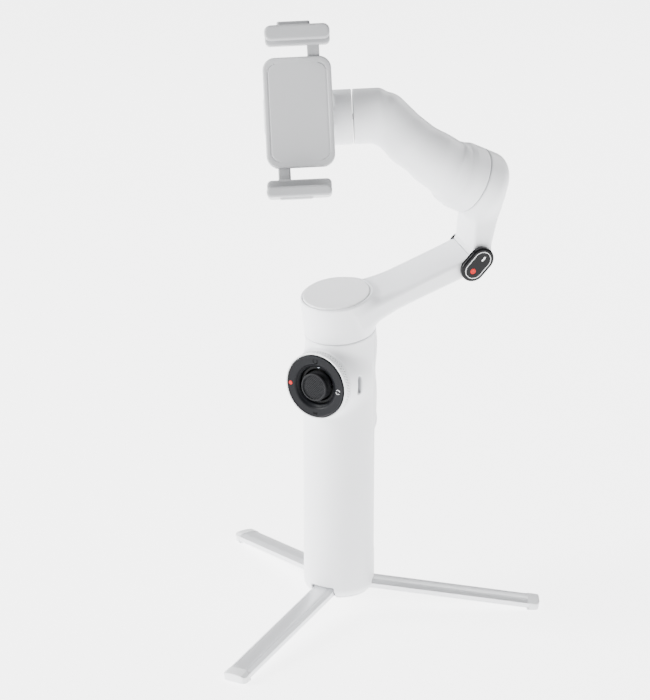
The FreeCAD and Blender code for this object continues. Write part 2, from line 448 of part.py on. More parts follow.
for sg in (1, -1):
    y0 = 4.0 if sg > 0 else -20.0
    ua = ua.cut(cyl(KNUCKLE_R + 0.3, 16.0, (hx, y0, hz), (0, 1, 0)))
    y0 = ARM_W / 2 - 1.4 if sg > 0 else 1.4 - ARM_W / 2 - 8.0
    ua = ua.cut(cyl(CHEEK_R + 0.35, 8.0, (hx, y0, hz), (0, 1, 0)))
ua = fuse(ua, cyl(KNUCKLE_R, 8.0, (hx, -4.0, hz), (0, 1, 0)))
sth = cyl(ROLL_R, 13.2, (0, 0, -11.2))
sth = fillet(sth, 5.0, lambda e: abs(e.BoundBox.ZMin + 11.2) < 1e-4 and abs(e.BoundBox.ZMax + 11.2) < 1e-4)
ua = ua.fuse(put(sth, ROLL_L)).removeSplitter()
ua = ua.cut(put(cyl(14.9, 12.0, (0, 0, -8.0)), ROLL_L))
ua = fuse(ua, put(cyl(6.0, 14.0, (0, 0, -9.0)), ROLL_L))
ua = ua.cut(put(cyl(3.9, 14.0, (0, 0, -8.0)), ROLL_L))
ua = ua.cut(cyl(PIN_R + 0.05, 8.4, (hx, -4.2, hz), (0, 1, 0)))
add("upper_arm_shell", put(one(ua), ARM))
st = tube(12.4, 6.05, 6.0)
for i in range(12):
    w = box(7.6, -0.9, -1, 13.2, 0.9, 8); w.rotate(V(0, 0, 0), V(0, 0, 1), 30.0 * i + 15)
    st = st.cut(w)
st.translate(V(0, 0, -1.0))
add("roll_stator", put(st, ROLL))
add("roll_bearings", Part.makeCompound([put(tube(3.85, 2.05, 2.2, (0, 0, -7.6)), ROLL), put(tube(3.85, 2.05, 2.2, (0, 0, 2.7)), ROLL)]))

# ================================================================ ROLL ROTOR, ITS ARM AND THE TILT STATOR
z0, z1 = 2.0 + GAP, 12.2
rr = cyl(ROLL_R, z1 - z0, (0, 0, z0))
rr = chamfer(rr, 1.4, lambda e: abs(e.BoundBox.ZMin - z1) < 1e-4 and abs(e.BoundBox.ZMax - z1) < 1e-4)
ty, tz = TILT_YZ
TS0, TS1 = 29.6, 46.0     # tilt stator housing along the clamp's X
sec0 = circ(15.0, ROLL.multiply(place((0, 0, 11.0), (1, 0, 0), (0, 0, 1))))
sec1 = circ(13.3, PHONE.multiply(place((68.9, -24.7, -28.4), (0, 0, 1), (-0.84, 0.48, 0.26))))
sec2 = circ(12.2, PHONE.multiply(place((57.0, -15.6, -26.8), (0, 0, 1), (-0.80, 0.59, 0.06))))
sec3 = circ(12.6, PHONE.multiply(place((45.0, ty - 1.0, tz), (0, 0, 1), (-0.96, 0.28, 0.0))))
rarm = Part.makeLoft([sec0, sec1, sec2, sec3], True, False)
tst = cyl(TILT_R, TS1 - TS0, (TS0, ty, tz), (1, 0, 0))
tst = fillet(tst, 4.0, lambda e: abs(e.BoundBox.XMin - TS1) < 1e-4 and abs(e.BoundBox.XMax - TS1) < 1e-4)
rsh = put(rr, ROLL).fuse(rarm).fuse(put(tst, PHONE)).removeSplitter()
rsh = rsh.cut(put(cyl(15.2, 8.2, (0, 0, z0 - 1)), ROLL)).cut(put(cyl(2.03, 3.0, (0, 0, 8.5)), ROLL))
rsh = rsh.cut(put(cyl(11.6, 11.0, (TS0 - 1, ty, tz), (1, 0, 0)), PHONE))
rsh = fuse(rsh, put(cyl(5.0, 11.0, (TS0 + 0.4, ty, tz), (1, 0, 0)), PHONE))
rsh = rsh.cut(put(cyl(3.4, 12.0, (TS0 - 1, ty, tz), (1, 0, 0)), PHONE))
add("roll_rotor_shell", one(rsh))
add("roll_magnets", put(magnet_ring(15.18, 13.2, 5.0, z0 + 0.2), ROLL))
add("roll_shaft", put(cyl(2.0, 19.2, (0, 0, -7.9)), ROLL))
st = tube(10.4, 5.05, 5.6)
for i in range(12):
    w = box(6.4, -0.8, -1, 11.2, 0.8, 8); w.rotate(V(0, 0, 0), V(0, 0, 1), 30.0 * i + 15)
    st = st.cut(w)
TF = PHONE.multiply(place((TS0, ty, tz), (0, 1, 0), (1, 0, 0)))   # z towards the stator
add("tilt_stator", put(st.translated(V(0, 0, 1.2)), TF))
add("tilt_bearings", Part.makeCompound([put(tube(3.35, 1.55, 2.0, (0, 0, 0.6)), TF), put(tube(3.35, 1.55, 2.0, (0, 0, 8.0)), TF)]))

# ================================================================ TILT ROTOR WITH THE MAGNETIC MOUNT
TR0, TR1 = 14.6, TS0 - GAP
tr = cyl(TILT_R, TR1 - TR0, (TR0, ty, tz), (1, 0, 0))
tr = fillet(tr, 2.5, lambda e: abs(e.BoundBox.XMin - TR0) < 1e-4 and abs(e.BoundBox.XMax - TR0) < 1e-4)
pl = rbox(34.0, 27.0, 4.0, 7.0, (3.2, -1.0, -17.9), 0.6)
nk = rbox(24.0, 16.0, 8.0, 5.0, (8.0, ty, -24.5))
trs = fuse(tr, nk, pl)
trs = trs.cut(cyl(11.7, 6.4, (TR1 - 6.0, ty, tz), (1, 0, 0))).cut(cyl(1.53, 14.2, (TR1 - 14.0, ty, tz), (1, 0, 0)))
trs = trs.cut(box(-16, -16, -13.9, 19.0, 14, -9.0))
MAG = [(-8.6, -8.4), (15.0, -8.4), (-8.6, 6.4), (15.0, 6.4)]
for x, y in MAG:
    trs = trs.cut(cyl(3.05, 2.6, (x, y, -16.3)))
add("tilt_rotor_shell", put(one(trs), PHONE))
add("tilt_magnets", put(magnet_ring(11.68, 10.5, 4.4, -GAP - 5.0 - 0.4, 12), TF))
add("tilt_shaft", put(fuse(cyl(1.5, 21.5, (0, 0, -11.0))), TF))
add("mount_magnets", Part.makeCompound([put(cyl(3.0, 2.3, (x, y, -16.3)), PHONE) for x, y in MAG]))

# ================================================================ CLAMP
CB0, CB1 = -27.0, 26.0
CX = 4.4                   # middle of the clamp
cb = rbox(33.0, CB1 - CB0, 6.9, 6.0, (CX - 0.9, (CB0 + CB1) / 2.0, -12.4), 0.8)
cb = cb.cut(box(CX - 13.2, -60, -11.3, CX + 11.4, 60, -6.6))
cb = cb.cut(rbox(28.0, 24.0, 2.0, 4.0, (3.2, -1.0, -14.0)))
AX = CX - 0.9
ax = cyl(1.5, 4.5, (AX, -0.5, -11.2))
cb = fuse(cb, ax)
add("clamp_body", put(one(cb), PHONE))
sp = rbox(27.8, 23.8, 1.75, 3.9, (3.2, -1.0, -13.85))
for x, y in [(-7.0, 8.0), (13.4, 8.0), (-7.0, -10.0), (13.4, -10.0)]:
    sp = sp.cut(cyl(0.9, 3, (x, y, -14)))
add("clamp_steel_plate", put(sp, PHONE))
# pinion and the two racks on the jaw tails, module 0.75
M, Z = 0.75, 12
RP = M * Z / 2.0
def gear(m_, z_, pa=20.0, back=0.10):
    rp = m_ * z_ / 2.0; ra = rp + 0.85 * m_; rf = rp - 1.1 * m_; rb = rp * math.cos(math.radians(pa))
    inv = lambda r: math.tan(math.acos(min(1.0, rb / r))) - math.acos(min(1.0, rb / r))
    half = math.pi / (2 * z_) - back / rp
    pts = []
    for i in range(z_):
        c = 2 * math.pi * i / z_
        rs_ = [rb + (ra - rb) * k / 4.0 for k in range(5)]
        left = [(rf, c - half - inv(rp))] + [(r, c - (half + inv(rp) - inv(r))) for r in rs_]
        right = [(r, 2 * c - t) for r, t in reversed(left)]
        pts += left + right
    P = [V(r * math.cos(t), r * math.sin(t), 0) for r, t in pts]
    return Part.Face(Part.makePolygon(P + [P[0]]))
gz0, gh = -10.9, 1.9
pin = gear(M, Z).extrude(V(0, 0, gh)).cut(cyl(1.55, 5))
pin = fuse(pin, tube(3.2, 1.55, 1.6, (0, 0, gh)))
pin.rotate(V(0, 0, 0), V(0, 0, 1), 0.0)
add("clamp_pinion", put(pin.translated(V(AX, -0.5, gz0)), PHONE))
def rack(x_pitch, side, y0, y1, phase):
    # straight-sided teeth pointing at the pinion; side +1: rack lies at larger x
    p = math.pi * M
    k0, k1 = int(math.ceil((y0 + 0.5 - phase) / p)), int(math.floor((y1 + 0.5 - phase) / p))
    out = None
    tn = math.tan(math.radians(20))
    hw = p / 4 - 0.10
    for k in range(k0 + 1, k1):
        yc = -0.5 + phase + k * p
        ht, hb = 0.85 * M, 1.05 * M
        pr = [(x_pitch + side * hb, yc - hw - hb * tn), (x_pitch - side * ht, yc - hw + ht * tn), (x_pitch - side * ht, yc + hw - ht * tn), (x_pitch + side * hb, yc + hw + hb * tn)]
        P = [V(x, y, gz0) for x, y in pr]
        t = Part.Face(Part.makePolygon(P + [P[0]])).extrude(V(0, 0, gh))
        out = t if out is None else out.fuse(t)
    return out
def jaw_ends(sign):
    return (JAW_X0, JAW_X0 + JAW_W) if sign > 0 else (JAW_LOW_X0, JAW_LOW_X0 + JAW_W)
def jaw(sign):
    # sign +1 upper, -1 lower; v is measured from the pad's face away from the phone
    yb = OPEN_TOP if sign > 0 else OPEN_BOTTOM
    def ya(v):
        return yb + sign * v
    def bx(x0, v0, z0_, x1, v1, z1_):
        p, q = sorted((ya(v0), ya(v1)))
        return box(x0, p, z0_, x1, q, z1_)
    x0, x1 = jaw_ends(sign)
    v0, v1 = (-3.6, 3.8) if sign > 0 else (-0.5, 4.6)
    rc = 3.2 if sign > 0 else 2.3
    outline = rbox(x1 - x0, v1 - v0, 19.9, rc, ((x0 + x1) / 2.0, ya((v0 + v1) / 2.0), -12.3))
    outline = fillet(outline, 1.1, lambda e: e.BoundBox.ZMin > 7.59)
    j = outline.common(fuse(bx(x0 - 1, 0.5, -13, x1 + 1, 9, 8.5), bx(x0 - 1, -9, 5.6, x1 + 1, 9, 8.5)))
    back = rbox(x1 - x0, v1 + 4.4, 6.1, 2.4, ((x0 + x1) / 2.0, ya((v1 - 4.4) / 2.0), -12.3))
    xt = x0 + 6.1
    tab = bx(xt, v1 - 1.0, -3.4, xt + 15.8, v1 + (2.0 if sign > 0 else 0.9), 3.6)
    tab = fillet(tab, 0.6, lambda e: abs(e.BoundBox.YMax - e.BoundBox.YMin) < 1e-6 and abs(e.BoundBox.YMax - ya(v1 + (2.0 if sign > 0 else 0.9))) < 1e-4)
    j = fuse(j, back, tab)
    # tail with its rack: from the head past the pinion
    xr = AX + sign * RP
    w0, w1 = (xr + 1.05 * M, AX + 11.2) if sign > 0 else (AX - 11.2, xr - 1.05 * M)
    yh, ye = ya(-2.0), -0.5 - sign * 14.0
    p, q = sorted((yh, ye))
    tail = box(w0, p, -10.9, w1, q, -7.0)
    ys0, ys1 = sorted((ye, -0.5 + sign * 20.0))
    ph = math.pi * M / 2.0
    rk = rack(xr, sign, ys0 + 0.5, ys1 + 0.5, ph)
    return fuse(j, tail, rk)
def pad(sign):
    yb = OPEN_TOP if sign > 0 else OPEN_BOTTOM
    def bx(x0, v0, z0_, x1, v1, z1_):
        p, q = sorted((yb + sign * v0, yb + sign * v1))
        return box(x0, p, z0_, x1, q, z1_)
    x0, x1 = jaw_ends(sign)
    x0, x1 = x0 + 2.6, x1 - 2.6
    a_ = bx(x0, 0.0, -5.8, x1, 0.5, 5.6)
    if sign < 0:
        return a_
    return fuse(a_, bx(x0, -3.2, 4.6, x1, 0.0, 5.6))
add("upper_jaw", put(one(jaw(1)), PHONE))
add("upper_jaw_pad", put(pad(1), PHONE))
add("lower_jaw", put(one(jaw(-1)), PHONE))
add("lower_jaw_pad", put(pad(-1), PHONE))

# ================================================================ LEGS
def leg_frame(az):
    c, sn = math.cos(math.radians(az)), math.sin(math.radians(az))
    cs, ss = math.cos(math.radians(LEG_SLOPE)), math.sin(math.radians(LEG_SLOPE))
    # x along the leg outwards and down, z up
    return place((LEG_PIVOT_R * c, LEG_PIVOT_R * sn, LEG_PIVOT_Z), (cs * c, cs * sn, -ss), (ss * c, ss * sn, cs))
h = LEG_SIDE / 2.0
def leg_prof(g, zb):
    # flat sides, bevelled shoulders and a low crown; g grows the outline
    w = LEG_W / 2 + g
    p = [V(0, -w, zb), V(0, w, zb), V(0, w, h + g * 0.4), V(0, 4.3 + g * 0.5, 2.35 + g), V(0, 0, 2.75 + g), V(0, -4.3 - g * 0.5, 2.35 + g), V(0, -w, h + g * 0.4)]
    e = [Part.LineSegment(p[0], p[1]).toShape(), Part.LineSegment(p[1], p[2]).toShape(), Part.LineSegment(p[2], p[3]).toShape(),
         Part.Arc(p[3], p[4], p[5]).toShape(), Part.LineSegment(p[5], p[6]).toShape(), Part.LineSegment(p[6], p[0]).toShape()]
    return Part.Face(Part.Wire(e))
bar_ = leg_prof(0.0, -h).extrude(V(LEG_LEN - 1.0, 0, 0))
for y in (-4.1, -3.3, 3.3, 4.1):
    bar_ = bar_.cut(box(9, y - 0.14, 2.12, LEG_LEN - 4, y + 0.14, 4))
kn_ = cyl(2.3, LEG_W, (0, -LEG_W / 2, 0), (0, 1, 0))
legb = fuse(bar_.cut(box(-5, -20, -20, 0.0, 20, 20)), kn_).cut(cyl(1.0, 20, (0, -10, 0), (0, 1, 0)))
foot = leg_prof(0.3, -4.2).extrude(V(6.3, 0, 0)); foot.translate(V(LEG_LEN - 2.0, 0, 0))
foot = fillet(foot, 2.2, lambda e: e.BoundBox.XMin > LEG_LEN + 4.2 and abs(e.BoundBox.YMax - e.BoundBox.YMin) < 0.4)
core = leg_prof(0.0, -h).extrude(V(1.05, 0, 0)); core.translate(V(LEG_LEN - 2.0, 0, 0))
foot = foot.cut(core)
for nm, az in LEG_AZ.items():
    F = leg_frame(az)
    add("leg_bar_" + nm, put(one(legb), F))
    add("leg_foot_" + nm, one(put(one(foot), F).cut(box(-200, -200, -40, 200, 200, FLOOR_Z))))

# ---------------------------------------------------------------- write
for k, s in nodes.items():
    bad = "" if s.isValid() else "  INVALID"
    s.exportStep("parts/%s.step" % k)
    bb = s.BoundBox
    print("%-20s solids %d vol %9.1f  %s%s" % (k, len(s.Solids), s.Volume, "[%.1f %.1f %.1f .. %.1f %.1f %.1f]" % (bb.XMin, bb.YMin, bb.ZMin, bb.XMax, bb.YMax, bb.ZMax), bad))
print(len(nodes), "nodes")
print("pan axis", n, "arm frame", ARM.toMatrix().A)
for nm, F in (("ROLL", ROLL), ("PHONE", PHONE), ("HINGE", HF), ("TILT", TF)):
    print(nm, [round(q, 6) for q in F.toMatrix().A])
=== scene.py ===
# Looks for the folding phone gimbal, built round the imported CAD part. Lengths inside the helpers are in millimetres in
# the CAD frame and become metres when a mesh is made.
import bpy, math, json
import numpy as np
from mathutils import Matrix, Vector


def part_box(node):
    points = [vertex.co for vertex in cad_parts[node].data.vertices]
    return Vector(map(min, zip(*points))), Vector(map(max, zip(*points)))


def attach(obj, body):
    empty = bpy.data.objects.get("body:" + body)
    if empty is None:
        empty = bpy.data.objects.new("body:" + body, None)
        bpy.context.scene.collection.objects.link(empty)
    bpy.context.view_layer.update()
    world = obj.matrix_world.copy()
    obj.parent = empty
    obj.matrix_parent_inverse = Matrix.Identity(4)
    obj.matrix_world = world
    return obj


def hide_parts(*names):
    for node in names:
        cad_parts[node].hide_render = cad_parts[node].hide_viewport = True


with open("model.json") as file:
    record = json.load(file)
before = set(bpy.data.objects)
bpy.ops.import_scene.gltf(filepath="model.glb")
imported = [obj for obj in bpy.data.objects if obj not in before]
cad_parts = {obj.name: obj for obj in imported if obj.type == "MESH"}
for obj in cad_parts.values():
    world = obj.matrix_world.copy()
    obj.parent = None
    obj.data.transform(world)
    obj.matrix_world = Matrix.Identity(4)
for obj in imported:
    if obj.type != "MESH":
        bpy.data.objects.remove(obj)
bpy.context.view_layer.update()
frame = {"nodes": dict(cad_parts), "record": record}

REC = frame["record"]
JOINT = {j["name"]: j for j in REC["behaviour"]["joints"]}
H = 0.5      # sampling step of the shells

# ------------------------------------------------------------------ frames
class Fr:
    def __init__(self, o, x, z):
        z = np.array(z, float); z /= np.linalg.norm(z)
        x = np.array(x, float); x = x - z * x.dot(z); x /= np.linalg.norm(x)
        self.o = np.array(o, float); self.R = np.stack([x, np.cross(z, x), z], 1)
    def loc(self, P):
        return (P - self.o) @ self.R
    def wor(self, Q):
        return self.o + np.asarray(Q, float) @ self.R.T
    def child(self, o, x, z):
        f = Fr((0, 0, 0), (1, 0, 0), (0, 0, 1))
        k = Fr(o, x, z)
        f.o = self.wor(k.o); f.R = self.R @ k.R
        return f

W = Fr((0, 0, 0), (1, 0, 0), (0, 0, 1))
pj = JOINT["pan"]
PAN = Fr(np.array(pj["pos_m"]) * 1000, (1, 0, 0), pj["axis"])
c48, s48 = math.cos(math.radians(48)), math.sin(math.radians(48))
ARM = PAN.child((0, 0, 0), (c48, s48, 0), (0, 0, 1))
ra = math.radians(145.0)
ROLL = ARM.child((76.8, 0, 58.4), (0, -1, 0), (math.cos(ra), 0, math.sin(ra)))
yw, pt, rl = [math.radians(q) for q in (30.0, 18.7, 2.7)]
face = np.array([math.sin(yw) * math.cos(pt), -math.cos(yw) * math.cos(pt), math.sin(pt)])
rt = np.array([math.cos(yw), math.sin(yw), 0.0])
PHONE = Fr((-13.2, -23.6, 254.3), rt * math.cos(rl) + np.cross(face, rt) * math.sin(rl), face)
PANEL = Fr((0, 0, 117.0), (1, 0, 0), (0, -1, 0))
HX, HZ = 70.2, 21.1
hb = math.radians(41.0)
HINGE = ARM.child((HX, 0, HZ), (math.cos(hb), 0, math.sin(hb)), (0, -1, 0))

# ------------------------------------------------------------------ distance functions
def smin(a, b, k):
    h = np.clip(0.5 + 0.5 * (b - a) / k, 0.0, 1.0)
    return b * (1 - h) + a * h - k * h * (1 - h)
def smax(a, b, k):
    return -smin(-a, -b, k)
def rmax(a, b, r):
    return np.minimum(-r, np.maximum(a, b)) + np.hypot(np.maximum(a + r, 0), np.maximum(b + r, 0))
def rmin(a, b, r):
    return -rmax(-a, -b, r)
def cyl(q, r, z0, z1, rb=0.3, rtop=None):
    rtop = rb if rtop is None else rtop
    d = np.hypot(q[:, 0], q[:, 1]) - r
    return rmax(rmax(d, z0 - q[:, 2], rb), q[:, 2] - z1, rtop)
def rbox(q, hx_, hy_, z0, z1, rc, re=0.5):
    a = np.abs(q[:, 0]) - hx_ + rc; b = np.abs(q[:, 1]) - hy_ + rc
    d = np.hypot(np.maximum(a, 0), np.maximum(b, 0)) + np.minimum(np.maximum(a, b), 0) - rc
    zc, hz_ = (z0 + z1) / 2, (z1 - z0) / 2
    return rmax(d, np.abs(q[:, 2] - zc) - hz_, re)
def poly(px, pz, vs):
    vs = np.array(vs, float); n_ = len(vs)
    d = np.full(px.shape, 1e9); s = np.ones(px.shape)
    for i in range(n_):
        a, b = vs[i], vs[i - 1]
        e = b - a; wx, wz = px - a[0], pz - a[1]
        t = np.clip((wx * e[0] + wz * e[1]) / (e @ e), 0, 1)
        bx_, bz_ = wx - e[0] * t, wz - e[1] * t
        d = np.minimum(d, bx_ * bx_ + bz_ * bz_)
        c1 = pz >= a[1]; c2 = pz < b[1]; c3 = e[0] * wz > e[1] * wx
        flip = (c1 & c2 & c3) | (~c1 & ~c2 & ~c3)
        s = np.where(flip, -s, s)
    return s * np.sqrt(d)
def seg(q, a, b, r0, r1):
    a, b = np.array(a, float), np.array(b, float)
    e = b - a
    t = np.clip(((q - a) @ e) / (e @ e), 0, 1)
    return np.linalg.norm(q - a - t[:, None] * e, axis=1) - (r0 + (r1 - r0) * t)
def sstep(x, a, b):
    t = np.clip((x - a) / (b - a), 0, 1)
    return t * t * (3 - 2 * t)

# ------------------------------------------------------------------ surface nets
def nets(f, lo, hi, h):
    lo = np.array(lo, float); hi = np.array(hi, float)
    n_ = np.ceil((hi - lo) / h).astype(int) + 1
    ax = [lo[i] + h * np.arange(n_[i]) for i in range(3)]
    F = np.empty(tuple(n_), np.float64)
    YY, ZZ = np.meshgrid(ax[1], ax[2], indexing="ij")
    blk = max(1, int(400000 / (n_[1] * n_[2])))
    for i0 in range(0, n_[0], blk):
        xs = ax[0][i0:i0 + blk]
        P = np.empty((len(xs), n_[1], n_[2], 3))
        P[..., 0] = xs[:, None, None]; P[..., 1] = YY[None]; P[..., 2] = ZZ[None]
        F[i0:i0 + blk] = f(P.reshape(-1, 3)).reshape(len(xs), n_[1], n_[2])
    ins = F < 0
    cnt = np.zeros(tuple(n_ - 1), np.int8)
    for a in (0, 1):
        for b in (0, 1):
            for c in (0, 1):
                cnt += ins[a:n_[0] - 1 + a, b:n_[1] - 1 + b, c:n_[2] - 1 + c]
    act = np.argwhere((cnt > 0) & (cnt < 8))
    idx = np.full(tuple(n_ - 1), -1, np.int64)
    idx[act[:, 0], act[:, 1], act[:, 2]] = np.arange(len(act))
    acc = np.zeros((len(act), 3)); num = np.zeros(len(act))
    for axis in range(3):
        o1, o2 = [k for k in range(3) if k != axis]
        for u in (0, 1):
            for v in (0, 1):
                A = act.copy(); A[:, o1] += u; A[:, o2] += v
                B = A.copy(); B[:, axis] += 1
                fa = F[A[:, 0], A[:, 1], A[:, 2]]; fb = F[B[:, 0], B[:, 1], B[:, 2]]
                m = (fa < 0) != (fb < 0)
                t = np.where(m, fa / np.where(m, fa - fb, 1.0), 0)
                p = A.astype(float); p[:, axis] += t
                acc += np.where(m[:, None], p, 0); num += m
    V = lo + h * acc / num[:, None]
    quads = []
    for axis, (p, q) in enumerate(((1, 2), (2, 0), (0, 1))):
        sl0 = [slice(None)] * 3; sl1 = [slice(None)] * 3
        sl0[axis] = slice(0, -1); sl1[axis] = slice(1, None)
        i0 = ins[tuple(sl0)]; i1 = ins[tuple(sl1)]
        E = np.argwhere(i0 != i1)
        ok = (E[:, p] > 0) & (E[:, q] > 0) & (E[:, p] < n_[p] - 1) & (E[:, q] < n_[q] - 1)
        E = E[ok]
        inside0 = i0[E[:, 0], E[:, 1], E[:, 2]]
        def cell(dp, dq):
            C = E.copy(); C[:, p] += dp; C[:, q] += dq
            return idx[C[:, 0], C[:, 1], C[:, 2]]
        Q = np.stack([cell(-1, -1), cell(0, -1), cell(0, 0), cell(-1, 0)], 1)
        Q = np.where(inside0[:, None], Q, Q[:, ::-1])
        quads.append(Q)
    Q = np.concatenate(quads)
    Q = Q[(Q >= 0).all(1)]
    # onto the surface
    E = np.concatenate([Q[:, [0, 1]], Q[:, [1, 2]], Q[:, [2, 3]], Q[:, [3, 0]]])
    eps = 0.04
    def grad(P):
        g = np.empty_like(P)
        for k in range(3):
            d = np.zeros(3); d[k] = eps
            g[:, k] = (f(P + d) - f(P - d)) / (2 * eps)
        return g
    for it in range(5):
        fv = f(V); g = grad(V); gg = np.maximum((g * g).sum(1), 1e-3)
        st = -(fv / gg)[:, None] * g
        ln = np.linalg.norm(st, axis=1)
        st *= np.minimum(1.0, 0.6 * h / np.maximum(ln, 1e-9))[:, None]
        V = V + st
        if it in (0, 1, 2):
            nb = np.zeros_like(V); k_ = np.zeros(len(V))
            np.add.at(nb, E[:, 0], V[E[:, 1]]); np.add.at(nb, E[:, 1], V[E[:, 0]])
            np.add.at(k_, E[:, 0], 1); np.add.at(k_, E[:, 1], 1)
            dl = nb / k_[:, None] - V
            nn = g / np.sqrt(gg)[:, None]
            dl -= nn * (dl * nn).sum(1)[:, None]
            V = V + 0.5 * dl
    return V, Q

def mesh_obj(name, V, F_, body, slot, mats=None, smooth=True, reps=()):
    # V in mm, world
    V = np.asarray(V, float) / 1000.0
    me = bpy.data.meshes.new(name)
    if isinstance(F_, np.ndarray):
        k = F_.shape[1]
        me.vertices.add(len(V)); me.vertices.foreach_set("co", V.astype(np.float32).ravel())
        me.loops.add(F_.size); me.loops.foreach_set("vertex_index", F_.astype(np.int32).ravel())
        me.polygons.add(len(F_)); me.polygons.foreach_set("loop_start", np.arange(0, F_.size, k, dtype=np.int32))
        me.update(calc_edges=True)
    else:
        me.from_pydata([tuple(v) for v in V], [], [tuple(int(i) for i in f) for f in F_])
        me.update()
    me.validate()
    me.polygons.foreach_set("use_smooth", np.full(len(me.polygons), bool(smooth)))
    me.update()
    ob = bpy.data.objects.new(name, me)
    bpy.context.scene.collection.objects.link(ob)
    ob.data.materials.append(MAT[mats or slot])
    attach(ob, body)
    if reps:
        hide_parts(*reps)
    return ob

def sdf_obj(name, f, F0, lo, hi, body, slot, reps=(), h=None, mats=None):
    # f works in frame F0's coordinates
    V, Q = nets(f, lo, hi, h or H)
    return mesh_obj(name, F0.wor(V), Q, body, slot, mats=mats, reps=reps)

def lathe(prof, segs=180, mod=None, close=True):
    # prof: (r, z) ring profile, closed loop; returns vertices and quads in local coordinates
    n_ = len(prof); V = []; 
    for i in range(segs):
        t = 2 * math.pi * i / segs
        for j, (r, z) in enumerate(prof):
            rr = r if mod is None else mod(r, z, t, j)
            V.append((rr * math.cos(t), rr * math.sin(t), z))
    F_ = []
    for i in range(segs):
        i2 = (i + 1) % segs
        for j in range(n_ if close else n_ - 1):
            j2 = (j + 1) % n_
            F_.append((i * n_ + j, i2 * n_ + j, i2 * n_ + j2, i * n_ + j2))
    return np.array(V), np.array(F_)

def rounded(path, r=0.3, k=4):
    # rounds the corners of a closed (r, z) polygon
    out = []; n_ = len(path)
    for i in range(n_):
        p0, p1, p2 = [np.array(path[j % n_], float) for j in (i - 1, i, i + 1)]
        rr = path[i][2] if len(path[i]) > 2 else r
        p0, p1, p2 = p0[:2], p1[:2], p2[:2]
        a, b = p0 - p1, p2 - p1
        la, lb = np.linalg.norm(a), np.linalg.norm(b); a /= la; b /= lb
        cs = float(np.clip(a @ b, -1, 1)); ang = math.acos(cs)
        if ang > math.pi - 0.05 or rr <= 0:
            out.append(tuple(p1)); continue
        t = min(rr / math.tan(ang / 2), la * 0.45, lb * 0.45)
        rr = t * math.tan(ang / 2)
        bis = (a + b) / np.linalg.norm(a + b)
        c = p1 + bis * (rr / math.sin(ang / 2))
        q0, q1 = p1 + a * t, p1 + b * t
        a0 = math.atan2(*(q0 - c)[::-1]); a1 = math.atan2(*(q1 - c)[::-1])
        da = (a1 - a0 + math.pi) % (2 * math.pi) - math.pi
        for m in range(k + 1):
            th = a0 + da * m / k
            out.append((c[0] + rr * math.cos(th), c[1] + rr * math.sin(th)))
    return out

# ------------------------------------------------------------------ materials
MAT = {}
def new_mat(name):
    m = bpy.data.materials.new(name); m.use_nodes = True
    nt = m.node_tree; nt.nodes.clear()
    out = nt.nodes.new("ShaderNodeOutputMaterial"); b = nt.nodes.new("ShaderNodeBsdfPrincipled")
    nt.links.new(b.outputs["BSDF"], out.inputs["Surface"])
    MAT[name] = m
    return m, nt, b
def coords(nt, scale=(1, 1, 1), rot=(0, 0, 0)):
    tc = nt.nodes.new("ShaderNodeTexCoord"); mp = nt.nodes.new("ShaderNodeMapping")
    mp.vector_type = "TEXTURE"
    mp.inputs["Scale"].default_value = tuple(1.0 / k for k in scale); mp.inputs["Rotation"].default_value = rot
    nt.links.new(tc.outputs["Object"], mp.inputs["Vector"])
    return mp.outputs["Vector"]
def noise(nt, vec, scale, detail=3.0, rough=0.5):
    n_ = nt.nodes.new("ShaderNodeTexNoise"); n_.inputs["Scale"].default_value = scale
    n_.inputs["Detail"].default_value = detail; n_.inputs["Roughness"].default_value = rough
    nt.links.new(vec, n_.inputs["Vector"]); return n_.outputs["Fac"]
def ramp(nt, fac, stops):
    r = nt.nodes.new("ShaderNodeValToRGB"); nt.links.new(fac, r.inputs["Fac"])
    e = r.color_ramp.elements
    while len(e) < len(stops): e.new(0.5)
    for i, (p, c) in enumerate(stops):
        e[i].position = p; e[i].color = (*c, 1) if len(c) == 3 else c
    return r.outputs["Color"]
def maprange(nt, fac, a, b, c, d):
    m = nt.nodes.new("ShaderNodeMapRange"); nt.links.new(fac, m.inputs["Value"])
    for k, v in zip(("From Min", "From Max", "To Min", "To Max"), (a, b, c, d)): m.inputs[k].default_value = v
    return m.outputs["Result"]
def bump(nt, b, height, strength, dist, prev=None):
    n_ = nt.nodes.new("ShaderNodeBump"); n_.inputs["Strength"].default_value = strength; n_.inputs["Distance"].default_value = dist
    nt.links.new(height, n_.inputs["Height"])
    if prev is not None: nt.links.new(prev, n_.inputs["Normal"])
    nt.links.new(n_.outputs["Normal"], b.inputs["Normal"]); return n_.outputs["Normal"]

